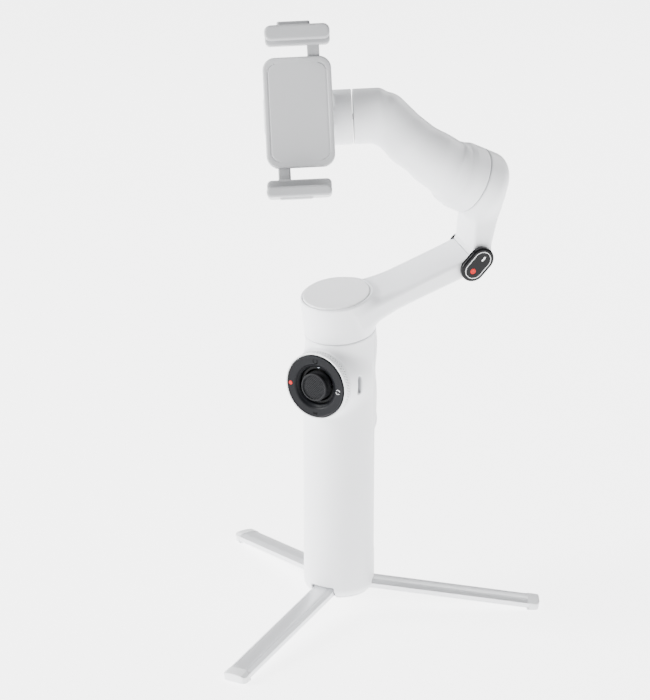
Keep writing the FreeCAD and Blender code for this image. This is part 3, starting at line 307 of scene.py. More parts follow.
def plastic(name, col, rough=0.4, grain=2600.0, gs=0.12, vary=0.015, coat=0.0, spec=0.5, rv=0.06):
    m, nt, b = new_mat(name)
    v = coords(nt)
    broad = noise(nt, v, 24.0, 3.0)
    lo_ = tuple(max(0, c * (1 - vary)) for c in col); hi_ = tuple(min(1, c * (1 + vary)) for c in col)
    nt.links.new(ramp(nt, broad, [(0.35, lo_), (0.65, hi_)]), b.inputs["Base Color"])
    fine = noise(nt, v, grain, 2.0, 0.6)
    smudge = noise(nt, v, 90.0, 4.0)
    nt.links.new(maprange(nt, smudge, 0.3, 0.7, rough - rv, rough + rv), b.inputs["Roughness"])
    bump(nt, b, fine, gs, 0.00004)
    b.inputs["Specular IOR Level"].default_value = spec
    b.inputs["Coat Weight"].default_value = coat
    b.inputs["Coat Roughness"].default_value = 0.12
    return m
def metal(name, col, rough=0.3, stretch=(1, 1, 1), scale=900.0, bs=0.25, vary=0.06, metallic=1.0, rot=(0, 0, 0)):
    m, nt, b = new_mat(name)
    v = coords(nt, stretch, rot)
    st = noise(nt, v, scale, 4.0, 0.6)
    lo_ = tuple(c * (1 - vary) for c in col); hi_ = tuple(min(1, c * (1 + vary)) for c in col)
    nt.links.new(ramp(nt, st, [(0.3, lo_), (0.7, hi_)]), b.inputs["Base Color"])
    nt.links.new(maprange(nt, st, 0.3, 0.7, rough - 0.07, rough + 0.09), b.inputs["Roughness"])
    bump(nt, b, st, bs, 0.00002)
    b.inputs["Metallic"].default_value = metallic
    return m

plastic("white_shell", (0.80, 0.81, 0.83), 0.42)
# cover_white is the white plastic made darker (0.72 against 0.80): painted shade for the back cover, trigger and
# bottom hub on the shaded back and underside of the handle
plastic("cover_white", (0.72, 0.73, 0.745), 0.46)
plastic("arm_white", (0.80, 0.81, 0.83), 0.40)
plastic("cap_white", (0.80, 0.805, 0.815), 0.34, gs=0.06)
plastic("dial_white", (0.80, 0.81, 0.82), 0.36, gs=0.06)
plastic("panel_black", (0.0050, 0.0054, 0.0068), 0.40, grain=3200, gs=0.10, vary=0.15, spec=0.11)
plastic("stick_black", (0.0085, 0.009, 0.0105), 0.6, grain=3000, gs=0.25, vary=0.2, spec=0.14)
plastic("gloss_black", (0.004, 0.004, 0.005), 0.2, gs=0.02, coat=0.0, vary=0.2, rv=0.03, spec=0.14)
plastic("mark_white", (0.78, 0.79, 0.80), 0.35, gs=0.02)
plastic("mark_red", (0.50, 0.008, 0.006), 0.35, gs=0.02, vary=0.05, spec=0.15)
# mark_grey colours the grey prisms that paint shade into the zoom dial's knurl grooves
plastic("mark_grey", (0.30, 0.31, 0.32), 0.45, gs=0.02)
plastic("mark_dark", (0.001, 0.001, 0.0012), 0.30, gs=0.02, spec=0.05)
plastic("inner_black", (0.006, 0.006, 0.007), 0.5, gs=0.2, spec=0.1)
plastic("foot_white", (0.82, 0.83, 0.845), 0.45)
plastic("jaw_grey", (0.36, 0.365, 0.375), 0.38, gs=0.08, vary=0.03, spec=0.3)
plastic("pad_grey", (0.13, 0.135, 0.14), 0.75, grain=1800, gs=0.5, vary=0.1)
plastic("clamp_grey", (0.42, 0.425, 0.435), 0.4, gs=0.1, vary=0.03, spec=0.3)
plastic("board_green", (0.003, 0.007, 0.005), 0.4, vary=0.3, spec=0.15)
plastic("cell_wrap", (0.05, 0.11, 0.32), 0.3, vary=0.1)
plastic("lamp", (0.75, 0.82, 0.9), 0.2, gs=0.02)
plastic("gear_white", (0.62, 0.62, 0.58), 0.45)
metal("steel", (0.52, 0.52, 0.54), 0.28)
metal("brass", (0.72, 0.52, 0.22), 0.30)
metal("chrome_trim", (0.82, 0.83, 0.85), 0.12, bs=0.05, vary=0.02)
metal("iron", (0.22, 0.22, 0.24), 0.45, stretch=(1, 1, 9), scale=700, bs=0.4)
metal("magnet", (0.62, 0.63, 0.66), 0.22)
for nm, az in (("front", 270.0), ("right", 30.0), ("left", 150.0)):
    metal("aluminium_" + nm, (0.74, 0.75, 0.77), 0.36, stretch=(0.012, 1, 1), scale=1500.0, bs=0.06, vary=0.025, metallic=0.45, rot=(0, 0, math.radians(az)))

REC_SLOT = {q["node"]: q["material_slot"] for q in REC["subparts"]}
plastic("port_grey", (0.42, 0.43, 0.45), 0.35, gs=0.05)
SLOT_MAT = {"aluminium": "aluminium_front"}
for nm, ob in frame["nodes"].items():
    sp = [s["material_slot"] for s in REC["subparts"] if s["node"] == nm][0]
    mt = MAT[SLOT_MAT.get(sp, sp)]
    for i in range(max(1, len(ob.material_slots))):
        if len(ob.material_slots):
            ob.material_slots[i].material = mt
        else:
            ob.data.materials.append(mt)

# ------------------------------------------------------------------ handle
T12 = math.tan(math.radians(12))
def centre_y(z):
    t = np.clip((z - 114.0) / 22.0, 0, 1)
    p1 = (143.4 - 136.0) * T12; m1 = -T12 * 22.0
    h01 = t * t * (3 - 2 * t); h11 = t * t * (t - 1)
    y = p1 * h01 + m1 * h11
    return np.where(z > 136.0, (143.4 - z) * T12, y)
def handle_raw(P, R, grow=0.0):
    z = P[:, 2]; t = sstep(z, 114, 136)
    return np.hypot(P[:, 0], (P[:, 1] - centre_y(z)) / (1 + 0.0223 * t)) - R
def handle_out(P):
    q = PAN.loc(P); pq = PANEL.loc(P)
    d = handle_raw(P, 18.0)
    y = pq[:, 2]
    rb = 17.2 + 1.1 * (1 - sstep(y, 6.0, 17.0))
    b = np.hypot(pq[:, 0], pq[:, 1]) - rb
    b = rmax(b, y - 18.8, 0.9)
    b = np.maximum(b, -y)
    d = smin(d, b, 3.0)
    # swelling over the trigger
    e = np.stack([P[:, 0] / 15.5, (P[:, 1] - 8.6) / 11.5, (P[:, 2] - 103) / 33.0], 1)
    k = np.linalg.norm(e, axis=1)
    el = (k - 1.0) * k / np.maximum(np.linalg.norm(e / np.array([15.5, 11.5, 33.0]), axis=1), 1e-6)
    el = np.maximum(el, -P[:, 1])
    d = smin(d, el, 3.0)
    d = rmax(d, q[:, 2] + 3.5, 0.6)
    d = rmax(d, -z_(P), 6.5)
    return d
def z_(P):
    return P[:, 2]
def cavity(P):
    q = PAN.loc(P); pq = PANEL.loc(P)
    c = handle_raw(P, 16.2)
    c = np.minimum(c, np.maximum(np.hypot(pq[:, 0], pq[:, 1]) - 14.4, -pq[:, 2]))
    return c
def notches(P):
    d = np.full(len(P), 1e9)
    for az in (270.0, 30.0, 150.0):
        c, s = math.cos(math.radians(az)), math.sin(math.radians(az))
        u = P[:, 0] * c + P[:, 1] * s; v = -P[:, 0] * s + P[:, 1] * c
        b = rmax(rmax(np.abs(v) - 6.5, P[:, 2] - 7.3, 0.8), 5.0 - u, 0.3)
        d = np.minimum(d, b)
    return d
PORTF = Fr((17.9, -10.3, 116.6), (0, 0, 1), (1, 0, 0))
def port(P, w=3.7, l=9.5, r=0.3):
    q = PORTF.loc(P)
    a = (l - w) / 2
    d = np.hypot(np.maximum(np.abs(q[:, 0]) - a, 0), q[:, 1]) - w / 2
    return np.maximum(d, -8.0 - q[:, 2])
def trig_slot(P):
    a = np.abs(P[:, 0]) - 7.85; zc, hz_ = (76.15 + 104.85) / 2, (104.85 - 76.15) / 2
    b = np.abs(P[:, 2] - zc) - hz_
    return np.maximum(rmax(a, b, 1.6), 10.0 - P[:, 1])
def region_back(P):
    z = P[:, 2]
    ys = np.interp(z, [70.0, 86.0], [5.7, 3.5])
    return rmax((ys - P[:, 1]), 22.5 - z, 4.5)
def front_shell(P):
    d = handle_out(P)
    d = rmax(d, -cavity(P), 0.3)
    d = rmax(d, -notches(P), 0.4)
    d = rmax(d, -port(P), 0.35)
    d = rmax(d, -(region_back(P) - 0.16), 0.35)
    return d
def back_cover(P):
    d = handle_out(P) + 0.28
    d = rmax(d, -cavity(P), 0.3)
    d = rmax(d, -trig_slot(P), 0.5)
    d = rmax(d, region_back(P) + 0.10, 0.45)
    return d
sdf_obj("front_shell_skin", front_shell, W, (-20, -21, -1), (20, 19, 146), "handle", "white_shell", reps=("front_shell",))
# the back cover takes the darker cover_white: painted shade on the handle's shaded back
sdf_obj("back_cover_skin", back_cover, W, (-20, 1, 20), (20, 23, 146), "handle", "cover_white", reps=("back_cover",))

# ------------------------------------------------------------------ pan rotor and lower arm
CR, SR = math.cos(math.radians(13.1)), math.sin(math.radians(13.1))
def hp(r, deg):
    return (HX + r * math.cos(math.radians(deg)), HZ + r * math.sin(math.radians(deg)))
MITRE = 131.0
KEEP = [(-40, -40), (hp(30, 286)[0] - 7.1 / math.cos(math.radians(13)), -40), hp(7.1, 193), (HX, HZ), hp(25, MITRE), (-40, hp(25, MITRE)[1])]
def lower_arm(q):
    # q in the arms' frame
    dx, dz = q[:, 0] - 20.0, q[:, 2] - 8.5
    s = 20.0 + dx * CR + dz * SR; t = -dx * SR + dz * CR
    hw = np.interp(s, [8, 14, 20, 26, 32, 40, 100], [16.0, 14.9, 13.9, 13.15, 12.75, 12.52, 12.5])
    ht = np.interp(s, [8, 14, 20, 26, 32, 40, 100], [8.0, 6.9, 6.05, 5.45, 5.1, 4.92, 4.9])
    upc = np.interp(s, [8, 20, 32], [0.8, 0.35, 0.0])
    rc = np.interp(s, [8, 40, 60, 70], [5.0, 2.4, 2.2, 1.6])
    a = np.abs(q[:, 1]) - hw + rc; b = np.abs(t - upc) - ht + rc
    d = np.hypot(np.maximum(a, 0), np.maximum(b, 0)) + np.minimum(np.maximum(a, b), 0) - rc
    return np.maximum(d, 7.0 - s)
def pan_rotor(P):
    p = PAN.loc(ARM.wor(P)); q = P
    rot = cyl(p, 18.0, -3.1, 16.4, 0.5, 1.4)
    arm = lower_arm(q)
    kp = poly(q[:, 0], q[:, 2], KEEP)
    arm = rmax(arm, kp, 0.35)
    d = smin(rot, arm, 4.5)
    hh = np.hypot(q[:, 0] - HX, q[:, 2] - HZ)
    ear = rmax(hh - 3.7, np.abs(q[:, 1]) - 11.3, 0.3)
    d = np.minimum(d, np.maximum(ear, 4.2 - np.abs(q[:, 1])))
    d = rmax(d, -np.maximum(hh - 4.8, 11.3 - np.abs(q[:, 1])), 0.15)
    cut = np.maximum(np.hypot(q[:, 0] - HX, q[:, 2] - HZ) - 4.0, np.abs(q[:, 1]) - 4.2)
    d = np.maximum(d, -cut)
    rr_ = np.hypot(p[:, 0], p[:, 1])
    d = np.maximum(d, np.where(rr_ < 22.0, p[:, 2] - 16.4, -1e9))
    d = rmax(d, -np.maximum(rr_ - 16.85, 15.5 - p[:, 2]), 0.25)
    d = rmax(d, -np.maximum(rr_ - 15.6, p[:, 2] - 11.5), 0.3)
    d = np.maximum(d, -3.1 - p[:, 2])
    return d
sdf_obj("pan_rotor_skin", pan_rotor, ARM, (-19, -19.5, -8), (72, 19.5, 40), "pan_rotor", "arm_white", reps=("pan_rotor_shell",))

def pan_cap(P):
    d = cyl(P, 16.65, 15.6, 16.9, 0.25, 0.45)
    return d
sdf_obj("pan_cap_skin", pan_cap, PAN, (-17.4, -17.4, 14.8), (17.4, 17.4, 17.6), "pan_rotor", "cap_white", reps=("pan_top_cap",), h=0.45)

# ------------------------------------------------------------------ upper arm and roll motor base
KN = 3.7
UA = [hp(5.0, MITRE - 2.4), (68.55, 26.5), (71.6, 43.0), (74.0, 58.4), (86.0, 52.0), (85.6, 46.0), (82.9, 38.6), (79.4, 28.0), hp(6.6, -14), (HX, HZ)]
def upper_arm(P):
    r = ROLL.loc(ARM.wor(P)); q = P
    pl = poly(q[:, 0], q[:, 2], UA)
    inner = sstep(q[:, 0] + 0.1 * (30.0 - q[:, 2]), 71.0, 77.0)
    d1 = rmax(pl, np.abs(q[:, 1]) - 12.5, 1.5)
    d2 = rmax(pl, np.abs(q[:, 1]) - 12.5, 3.0)
    d = d1 * (1 - inner) + d2 * inner
    d0 = rmax(pl, np.abs(q[:, 1]) - 12.5, 0.4)
    t = sstep(q[:, 2], 24.0, 29.0)
    d = d0 * (1 - t) + d * t
    ho = cyl(r, 16.9, -12.4, 2.0, 7.5, 0.5)
    d = smin(d, ho, 5.0)
    hh = np.hypot(q[:, 0] - HX, q[:, 2] - HZ)
    d = np.maximum(d, -np.maximum(hh - 4.0, 4.0 - np.abs(q[:, 1])))
    d = rmax(d, -np.maximum(hh - 5.05, 11.1 - np.abs(q[:, 1])), 0.15)
    kc = rmax(hh - KN, np.abs(q[:, 1]) - 4.0, 0.3)
    d = np.minimum(d, kc)
    d = np.maximum(d, -(hh - 1.87))
    d = rmax(d, r[:, 2] - 2.0, 0.5)
    rr_ = np.hypot(r[:, 0], r[:, 1])
    cav = np.maximum(rr_ - 14.9, -8.0 - r[:, 2])
    post = np.maximum(rr_ - 6.0, r[:, 2] - 5.0)
    d = rmax(d, -cav, 0.3)
    d = np.minimum(d, np.maximum(np.maximum(post, -9.0 - r[:, 2]), -np.maximum(rr_ - 3.9, -8.0 - r[:, 2])))
    return d
sdf_obj("upper_arm_skin", upper_arm, ARM, (57, -18, 16), (95, 18, 81), "upper_arm", "arm_white", reps=("upper_arm_shell",))

# ------------------------------------------------------------------ roll rotor, its arm, tilt motor base
TY, TZ = -2.0, -27.0
def roll_rotor(P):
    w = PHONE.wor(P); r = ROLL.loc(w)
    rr_ = np.hypot(r[:, 0], r[:, 1])
    rad = np.interp(r[:, 2], [2.4, 9.6, 12.2], [16.9, 16.8, 16.0])
    d = rmax(rmax(rr_ - rad, 2.4 - r[:, 2], 0.5), r[:, 2] - 12.2, 0.8)
    a0 = PHONE.loc(ROLL.wor((0, 0, 9.5))[None])[0]
    a1 = np.array([68.9, -24.7, -28.4]); a2 = np.array([57.0, -15.6, -26.8]); a3 = np.array([45.0, -3.0, -27.0])
    arm = smin(smin(seg(P, a0, a1, 15.2, 13.3), seg(P, a1, a2, 13.3, 12.2), 2.0), seg(P, a2, a3, 12.2, 12.4), 2.0)
    arm = np.maximum(arm, 6.0 - r[:, 2])
    arm = np.minimum(arm, rmax(rr_ - 15.7, r[:, 2] - 18.8, 5.5))
    arm = np.maximum(arm, 6.0 - r[:, 2])
    d = smin(d, arm, 0.5)
    t = np.stack([P[:, 1] - TY, P[:, 2] - TZ, P[:, 0]], 1)
    st = cyl(t, 13.5, 29.6, 46.0, 0.5, 4.0)
    d = smin(d, st, 2.5)
    d = rmax(d, 29.6 - P[:, 0], 0.4)
    d = np.maximum(d, 2.4 - r[:, 2])
    d = rmax(d, -np.maximum(rr_ - 15.2, r[:, 2] - 9.6), 0.3)
    tr = np.hypot(t[:, 0], t[:, 1])
    d = rmax(d, -np.maximum(tr - 11.6, P[:, 0] - 39.6), 0.3)
    post = np.maximum(np.maximum(tr - 5.0, 30.0 - P[:, 0]), P[:, 0] - 41.0)
    d = np.minimum(d, np.maximum(post, -np.maximum(tr - 3.4, P[:, 0] - 40.6)))
    return d
sdf_obj("roll_rotor_skin", roll_rotor, PHONE, (28, -56, -53), (96, 13, -11), "roll_rotor", "arm_white", reps=("roll_rotor_shell",))

# ------------------------------------------------------------------ tilt rotor with the mount plate
MAG = [(-8.6, -8.4), (15.0, -8.4), (-8.6, 6.4), (15.0, 6.4)]
def tilt_rotor(P):
    t = np.stack([P[:, 1] - TY, P[:, 2] - TZ, P[:, 0]], 1)
    d = cyl(t, 13.5, 14.6, 29.2, 3.0, 0.5)
    q = P - np.array([8.0, TY, 0])
    d = smin(d, rbox(q, 12.0, 8.0, -24.5, -16.5, 5.0, 0.5), 2.5)
    q = P - np.array([3.2, -1.0, 0])
    d = smin(d, rbox(q, 17.0, 13.5, -17.9, -13.9, 7.0, 0.8), 1.5)
    d = np.maximum(d, np.where(np.hypot(t[:, 0], t[:, 1]) > 13.5, P[:, 2] + 13.9, -1e9))
    for x, y in MAG:
        d = rmax(d, -np.maximum(np.hypot(P[:, 0] - x, P[:, 1] - y) - 3.05, -16.3 - P[:, 2]), 0.2)
    tr = np.hypot(t[:, 0], t[:, 1])
    d = rmax(d, -np.maximum(tr - 11.7, 23.2 - P[:, 0]), 0.3)
    d = np.maximum(d, -np.maximum(tr - 1.53, 15.2 - P[:, 0]))
    return d
sdf_obj("tilt_rotor_skin", tilt_rotor, PHONE, (-15, -17, -42), (30.5, 14, -12), "tilt_rotor", "arm_white", reps=("tilt_rotor_shell",))

# ------------------------------------------------------------------ control panel
def lathe_obj(name, prof, F0, body, slot, reps=(), segs=256, mod=None, mats=None, r=0.15):
    V_, F_ = lathe(rounded(prof, r, 5), segs, mod)
    return mesh_obj(name, F0.wor(V_), F_, body, slot, mats=mats, reps=reps)
def knurl(r, z, t, j):
    if r < 16.6 or z > 22.0 or z < 19.35:
        return r
    row = 0 if z > 20.75 else 1
    w = math.cos(72 * t + row * math.pi)
    edge = min(1.0, (22.0 - z) / 0.25, (z - 19.35) / 0.25, abs(z - 20.75) / 0.2)
    return r - 0.50 * max(0.0, w) ** 0.8 * max(0.0, edge)
wall = [(17.0, z) for z in (19.35, 19.6, 19.9, 20.2, 20.5, 20.74, 20.76, 21.0, 21.3, 21.6, 21.85, 22.0)]
lathe_obj("zoom_dial_skin", [(13.82, 19.1, 0.1), (17.0, 19.1, 0.15)] + wall + [(17.0, 23.7, 0.45), (16.22, 23.7, 0.2), (16.22, 22.0, 0.1), (13.82, 22.0, 0.1)],
          PANEL, "zoom_dial", "dial_white", reps=("zoom_dial",), segs=1008, mod=knurl)
# grey prisms sunk into the bottom of each knurl groove: painted shade darkening the grooves of the white dial
def groove_shade_prisms():
    V_, F_ = [], []
    for row, (z0, z1) in enumerate(((20.98, 21.82), (19.55, 20.52))):
        for k in range(72):
            t0 = math.radians(5.0 * k + 2.5 * row); o = len(V_)
            for r_, t in ((16.2, -0.011), (16.2, 0.011), (16.74, 0.011), (16.74, -0.011)):
                for z in (z0, z1):
                    V_.append((r_ * math.cos(t0 + t), r_ * math.sin(t0 + t), z))
            F_ += [tuple(o + i for i in f) for f in ((0, 1, 3, 2), (2, 3, 5, 4), (4, 5, 7, 6), (6, 7, 1, 0), (1, 7, 5, 3), (0, 2, 4, 6))]
    return V_, F_
groove_shade = groove_shade_prisms()
RING_TOP = 24.1
ring_prof = [(9.78, 20.2, 0.1), (12.55, 20.2, 0.1), (12.55, 22.9, 0), (15.9, 22.9, 0.1), (15.9, 24.0, 0.1), (15.68, 24.22, 0.1), (15.4, 24.27, 0.1), (15.15, 24.12, 0.1), (14.95, 24.1, 0), (12.0, 24.1, 0.2),
             (11.5, 23.93, 0.25), (10.9, 23.42, 0), (10.75, 23.2, 0.1), (10.55, 23.16, 0.1), (9.78, 22.5, 0.2)]
lathe_obj("press_ring_skin", ring_prof, PANEL, "press_ring", "panel_black", reps=("press_ring",), segs=360)
def prism(pts, z0, z1, bev=0.05):
    # closed prism of a counter-clockwise outline with a small bevel on top
    n_ = len(pts); P = np.array(pts, float); c = P.mean(0)
    q = P + (c - P) / np.maximum(np.linalg.norm(P - c, axis=1), 1e-6)[:, None] * bev
    V_ = [(x, y, z0) for x, y in P] + [(x, y, z1 - bev) for x, y in P] + [(x, y, z1) for x, y in q]
    F_ = [tuple(range(n_))[::-1]] + [tuple(range(2 * n_, 3 * n_))]
    for k in range(2):
        for i in range(n_):
            j = (i + 1) % n_
            F_.append((k * n_ + i, k * n_ + j, (k + 1) * n_ + j, (k + 1) * n_ + i))
    return V_, F_
def multi(parts):
    V_, F_ = [], []
    for v, f in parts:
        o = len(V_); V_ += [tuple(a) for a in v]; F_ += [tuple(i + o for i in k) for k in f]
    return V_, F_
def arc_band(cx, cy, r, w, a0, a1, n_=18):
    o = [(cx + (r + w / 2) * math.cos(math.radians(a0 + (a1 - a0) * i / n_)), cy + (r + w / 2) * math.sin(math.radians(a0 + (a1 - a0) * i / n_))) for i in range(n_ + 1)]
    k = [(cx + (r - w / 2) * math.cos(math.radians(a0 + (a1 - a0) * i / n_)), cy + (r - w / 2) * math.sin(math.radians(a0 + (a1 - a0) * i / n_))) for i in range(n_ + 1)]
    return o, k
def band(cx, cy, r, w, a0, a1, z0, z1, n_=18):
    o, k = arc_band(cx, cy, r, w, a0, a1, n_)
    V_ = []; F_ = []
    for (ox, oy), (kx, ky) in zip(o, k):
        V_ += [(ox, oy, z0), (ox, oy, z1), (kx, ky, z1), (kx, ky, z0)]
    for i in range(n_):
        a, b = 4 * i, 4 * (i + 1)
        for j in range(4):
            j2 = (j + 1) % 4
            F_.append((a + j, b + j, b + j2, a + j2)[::-1])
    F_ += [(0, 1, 2, 3)[::-1], tuple(4 * n_ + j for j in (0, 1, 2, 3))]
    return V_, F_
def tri(cx, cy, r, ang, z0, z1):
    p = [(cx + r * math.cos(math.radians(ang + 120 * i)), cy + r * math.sin(math.radians(ang + 120 * i))) for i in range(3)]
    return prism(p, z0, z1, 0.03)
def rectp(x0, y0, x1, y1, z0, z1):
    return prism([(x0, y0), (x1, y0), (x1, y1), (x0, y1)], z0, z1, 0.03)
# the knurl grooves' painted shade, in the grey mark material
mesh_obj("zoom_dial_groove_shade_skin", PANEL.wor(np.array(groove_shade[0])), groove_shade[1], "zoom_dial", REC_SLOT["zoom_dial"], mats="mark_grey", smooth=False)
ZM = RING_TOP - 0.02
fx, fy = 12.9, -0.7
flip = multi([band(fx, fy, 1.08, 0.15, 40, 140, ZM, ZM + 0.12), band(fx, fy, 1.08, 0.15, 220, 320, ZM, ZM + 0.12), tri(fx + 0.93, fy + 0.45, 0.34, -60, ZM, ZM + 0.12), tri(fx - 0.93, fy - 0.45, 0.34, 120, ZM, ZM + 0.12)])
mesh_obj("press_ring_marks_skin", PANEL.wor(np.array(flip[0])), flip[1], "press_ring", "mark_white", smooth=False, reps=("press_ring_marks",))
dark = multi([band(0, 13.1, 1.2, 0.42, 130, 410, ZM, ZM + 0.10, 28), tri(0.95, 12.25, 0.6, -30, ZM, ZM + 0.10),
              tri(-0.62, -14.0, 0.85, 0, ZM, ZM + 0.10), tri(0.62, -14.0, 0.85, 180, ZM, ZM + 0.10)])
mesh_obj("press_ring_dark_marks", PANEL.wor(np.array(dark[0])), dark[1], "press_ring", REC_SLOT["press_ring"], mats="mark_dark", smooth=False)
lathe_obj("record_dot_skin", [(0.05, 23.95, 0), (1.0, 23.95, 0), (1.0, 24.16, 0.08), (0.5, 24.22, 0), (0.05, 24.235, 0)], Fr(PANEL.wor((-14.0, -0.3, 0.0)), (1, 0, 0), (0, -1, 0)), "press_ring", "mark_red", reps=("record_dot",), segs=48)
# joystick cap with a cross-cut face
def joy_cap(P):
    q = P
    r_ = np.hypot(q[:, 0], q[:, 1])
    d = rmax(rmax(r_ - CAP_R, CAP_Z0 - q[:, 2], 0.25), q[:, 2] - CAP_Z1, 0.55)
    u = (q[:, 0] + q[:, 1]) * 0.70711; v = (q[:, 0] - q[:, 1]) * 0.70711
    pu = np.abs((u / 0.86) % 1.0 - 0.5) * 0.86; pv = np.abs((v / 0.86) % 1.0 - 0.5) * 0.86
    gr = 0.30 * np.exp(-(pu / 0.15) ** 2); gr = np.maximum(gr, 0.30 * np.exp(-(pv / 0.15) ** 2))
    fl = CAP_Z1 - 0.40 - gr
    return rmax(d, -np.maximum(r_ - (CAP_R - 0.95), fl - q[:, 2]), 0.12)
CAP_R, CAP_Z0, CAP_Z1 = 7.1, 23.52, 25.72
sdf_obj("joystick_cap_skin", joy_cap, PANEL, (-7.8, -7.8, 22.9), (7.8, 7.8, 26.4), "joystick", "stick_black", reps=("joystick_cap",), h=0.2)

# ------------------------------------------------------------------ elbow pill
PILL = HINGE.child((-0.7, 0.6, 0), (1, 0, 0), (0, 0, 1))
PZ = 13.4
def stad(q, L_, w_):
    a = (L_ - w_) / 2
    return np.hypot(np.maximum(np.abs(q[:, 0]) - a, 0), q[:, 1]) - w_ / 2
def pill(P):
    d = rmax(rmax(stad(P, 19.2, 12.8), PZ - P[:, 2], 0.5), P[:, 2] - PZ - 3.0, 1.25)
    d = rmax(d, -np.maximum(np.abs(stad(P, 15.1, 8.7)) - 0.16, PZ + 2.85 - P[:, 2]), 0.05)
    d = rmax(d, -np.maximum(np.hypot(P[:, 0] + 3.9, P[:, 1]) - 1.55, PZ + 2.8 - P[:, 2]), 0.08)
    return d
sdf_obj("elbow_pill_skin", pill, PILL, (-10.4, -7.2, 12.7), (10.4, 7.2, 17.1), "pan_rotor", "gloss_black", reps=("elbow_pill_cap",), h=0.3)
n_ = 96; st_ = []
for i in range(n_):
    t = 2 * math.pi * i / n_
    for (rr_, z) in ((4.35 + 0.17, 2.80), (4.35 + 0.15, 3.03), (4.35 - 0.15, 3.03), (4.35 - 0.17, 2.80)):
        st_.append(((3.2 if math.cos(t) >= 0 else -3.2) + rr_ * math.cos(t), rr_ * math.sin(t), PZ + z))
Fm = [(i * 4 + j, ((i + 1) % n_) * 4 + j, ((i + 1) % n_) * 4 + (j + 1) % 4, i * 4 + (j + 1) % 4)for i in range(n_) for j in range(4)]
bar_ = [(4.1 + 1.0 * sx + 0.45 * math.cos(math.radians(a)), 0.45 * math.sin(math.radians(a))) for sx, rng in ((1, range(-90, 91, 30)), (-1, range(90, 271, 30))) for a in rng]
mk = multi([(st_, Fm), prism(bar_, PZ + 2.8, PZ + 3.06, 0.05)])
mesh_obj("elbow_marks_skin", PILL.wor(np.array(mk[0])), mk[1], "pan_rotor", "mark_white", smooth=False, reps=("elbow_cap_marks",))
lathe_obj("elbow_dot_skin", [(0.05, 2.72, 0), (1.45, 2.72, 0), (1.45, 2.98, 0.1), (0.9, 3.06, 0), (0.05, 3.1, 0)], Fr(PILL.wor((-3.9, 0, PZ)), PILL.R[:, 0], PILL.R[:, 2]), "pan_rotor", "mark_red", reps=("elbow_red_dot",), segs=64)

# ------------------------------------------------------------------ clamp: body, jaws, pads
def clamp_body(P):
    q = P - np.array([3.5, -0.5, 0])
    d = rbox(q, 16.5, 26.5, -12.4, -5.5, 6.0, 0.9)
    cut = np.maximum(np.maximum(np.abs(P[:, 0] - (3.5)) - 12.3, -11.3 - P[:, 2]), P[:, 2] + 6.6)
    d = np.maximum(d, -cut)
    pk = P - np.array([3.2, -1.0, 0])
    d = rmax(d, -rbox(pk, 14.0, 12.0, -14.0, -12.0, 4.0, 0.2), 0.15)
    # shallow line round the front
    d = np.maximum(d, -np.maximum(np.abs(rbox(q, 14.1, 23.6, -9.0, -4.0, 4.6, 0.1)) - 0.16, -5.9 - P[:, 2]))
    post = np.maximum(np.hypot(P[:, 0] - 3.5, P[:, 1] + 0.5) - 1.5, np.maximum(-11.5 - P[:, 2], P[:, 2] + 6.4))
    return np.minimum(d, post)
sdf_obj("clamp_body_skin", clamp_body, PHONE, (-14.2, -28.4, -13.4), (21.2, 27.4, -4.6), "tilt_rotor", "clamp_grey", reps=("clamp_body",), h=0.45)

RP_, MOD = 4.5, 0.75
def jaw_shape(sign):
    yb = 36.1 if sign > 0 else -37.1
    x0 = -11.2 if sign > 0 else -13.5
    x1 = x0 + 31.2; xc = (x0 + x1) / 2
    v0, v1 = (-3.6, 3.8) if sign > 0 else (-0.5, 4.6)
    rc = 3.2 if sign > 0 else 2.3
    xr = 3.5 + sign * RP_
    w0, w1 = (xr + 1.05 * MOD, 3.5 + 11.2) if sign > 0 else (3.5 - 11.2, xr - 1.05 * MOD)
    ye = -0.5 - sign * 14.0
    def f(P):
        v = sign * (P[:, 1] - yb)
        q = np.stack([P[:, 0] - xc, v - (v0 + v1) / 2, P[:, 2]], 1)
        d = rbox(q, 15.6, (v1 - v0) / 2, -12.3, 7.6, rc, 1.2)
        step = rmin(0.5 - v, 5.6 - P[:, 2], 0.3)
        d = rmax(d, step, 0.3)
        q = np.stack([P[:, 0] - xc, v - (v1 - 4.4) / 2, P[:, 2]], 1)
        back = rbox(q, 15.6, (v1 + 4.4) / 2, -12.3, -6.2, 2.4, 0.8)
        d = np.minimum(d, back)
        tv = v1 + (2.0 if sign > 0 else 0.9)
        xt = x0 + 6.1 + 7.9
        q = np.stack([P[:, 0] - xt, P[:, 2] - 0.1, v], 1)
        tab = rbox(q, 7.9, 3.5, v1 - 1.0, tv, 1.2, 0.6)
        d = smin(d, tab, 0.5)
        p0, p1 = sorted((yb - sign * 2.0, ye))
        tail = np.maximum(np.maximum(np.abs(P[:, 0] - (w0 + w1) / 2) - (w1 - w0) / 2, np.abs(P[:, 1] - (p0 + p1) / 2) - (p1 - p0) / 2), np.abs(P[:, 2] + 8.95) - 1.95)
        d = np.minimum(d, tail)
        # rack teeth
        p = math.pi * MOD
        ph = p / 2.0
        k = np.round((P[:, 1] + 0.5 - ph) / p)
        dy = np.abs(P[:, 1] + 0.5 - ph - k * p)
        u = sign * (P[:, 0] - xr)          # grows away from the pinion
        hw = p / 4 - 0.10
        tooth = np.maximum(dy - (hw + u * math.tan(math.radians(20))), -u - 0.85 * MOD)
        tooth = np.maximum(tooth, u - 1.2 * MOD)
        ys0, ys1 = sorted((ye, -0.5 + sign * 20.0))
        tooth = np.maximum(tooth, np.maximum(ys0 + 1.6 - P[:, 1], P[:, 1] - ys1 + 1.6))
        tooth = np.maximum(tooth, np.abs(P[:, 2] + 9.95) - 0.95)
        return np.minimum(d, tooth)
    return f
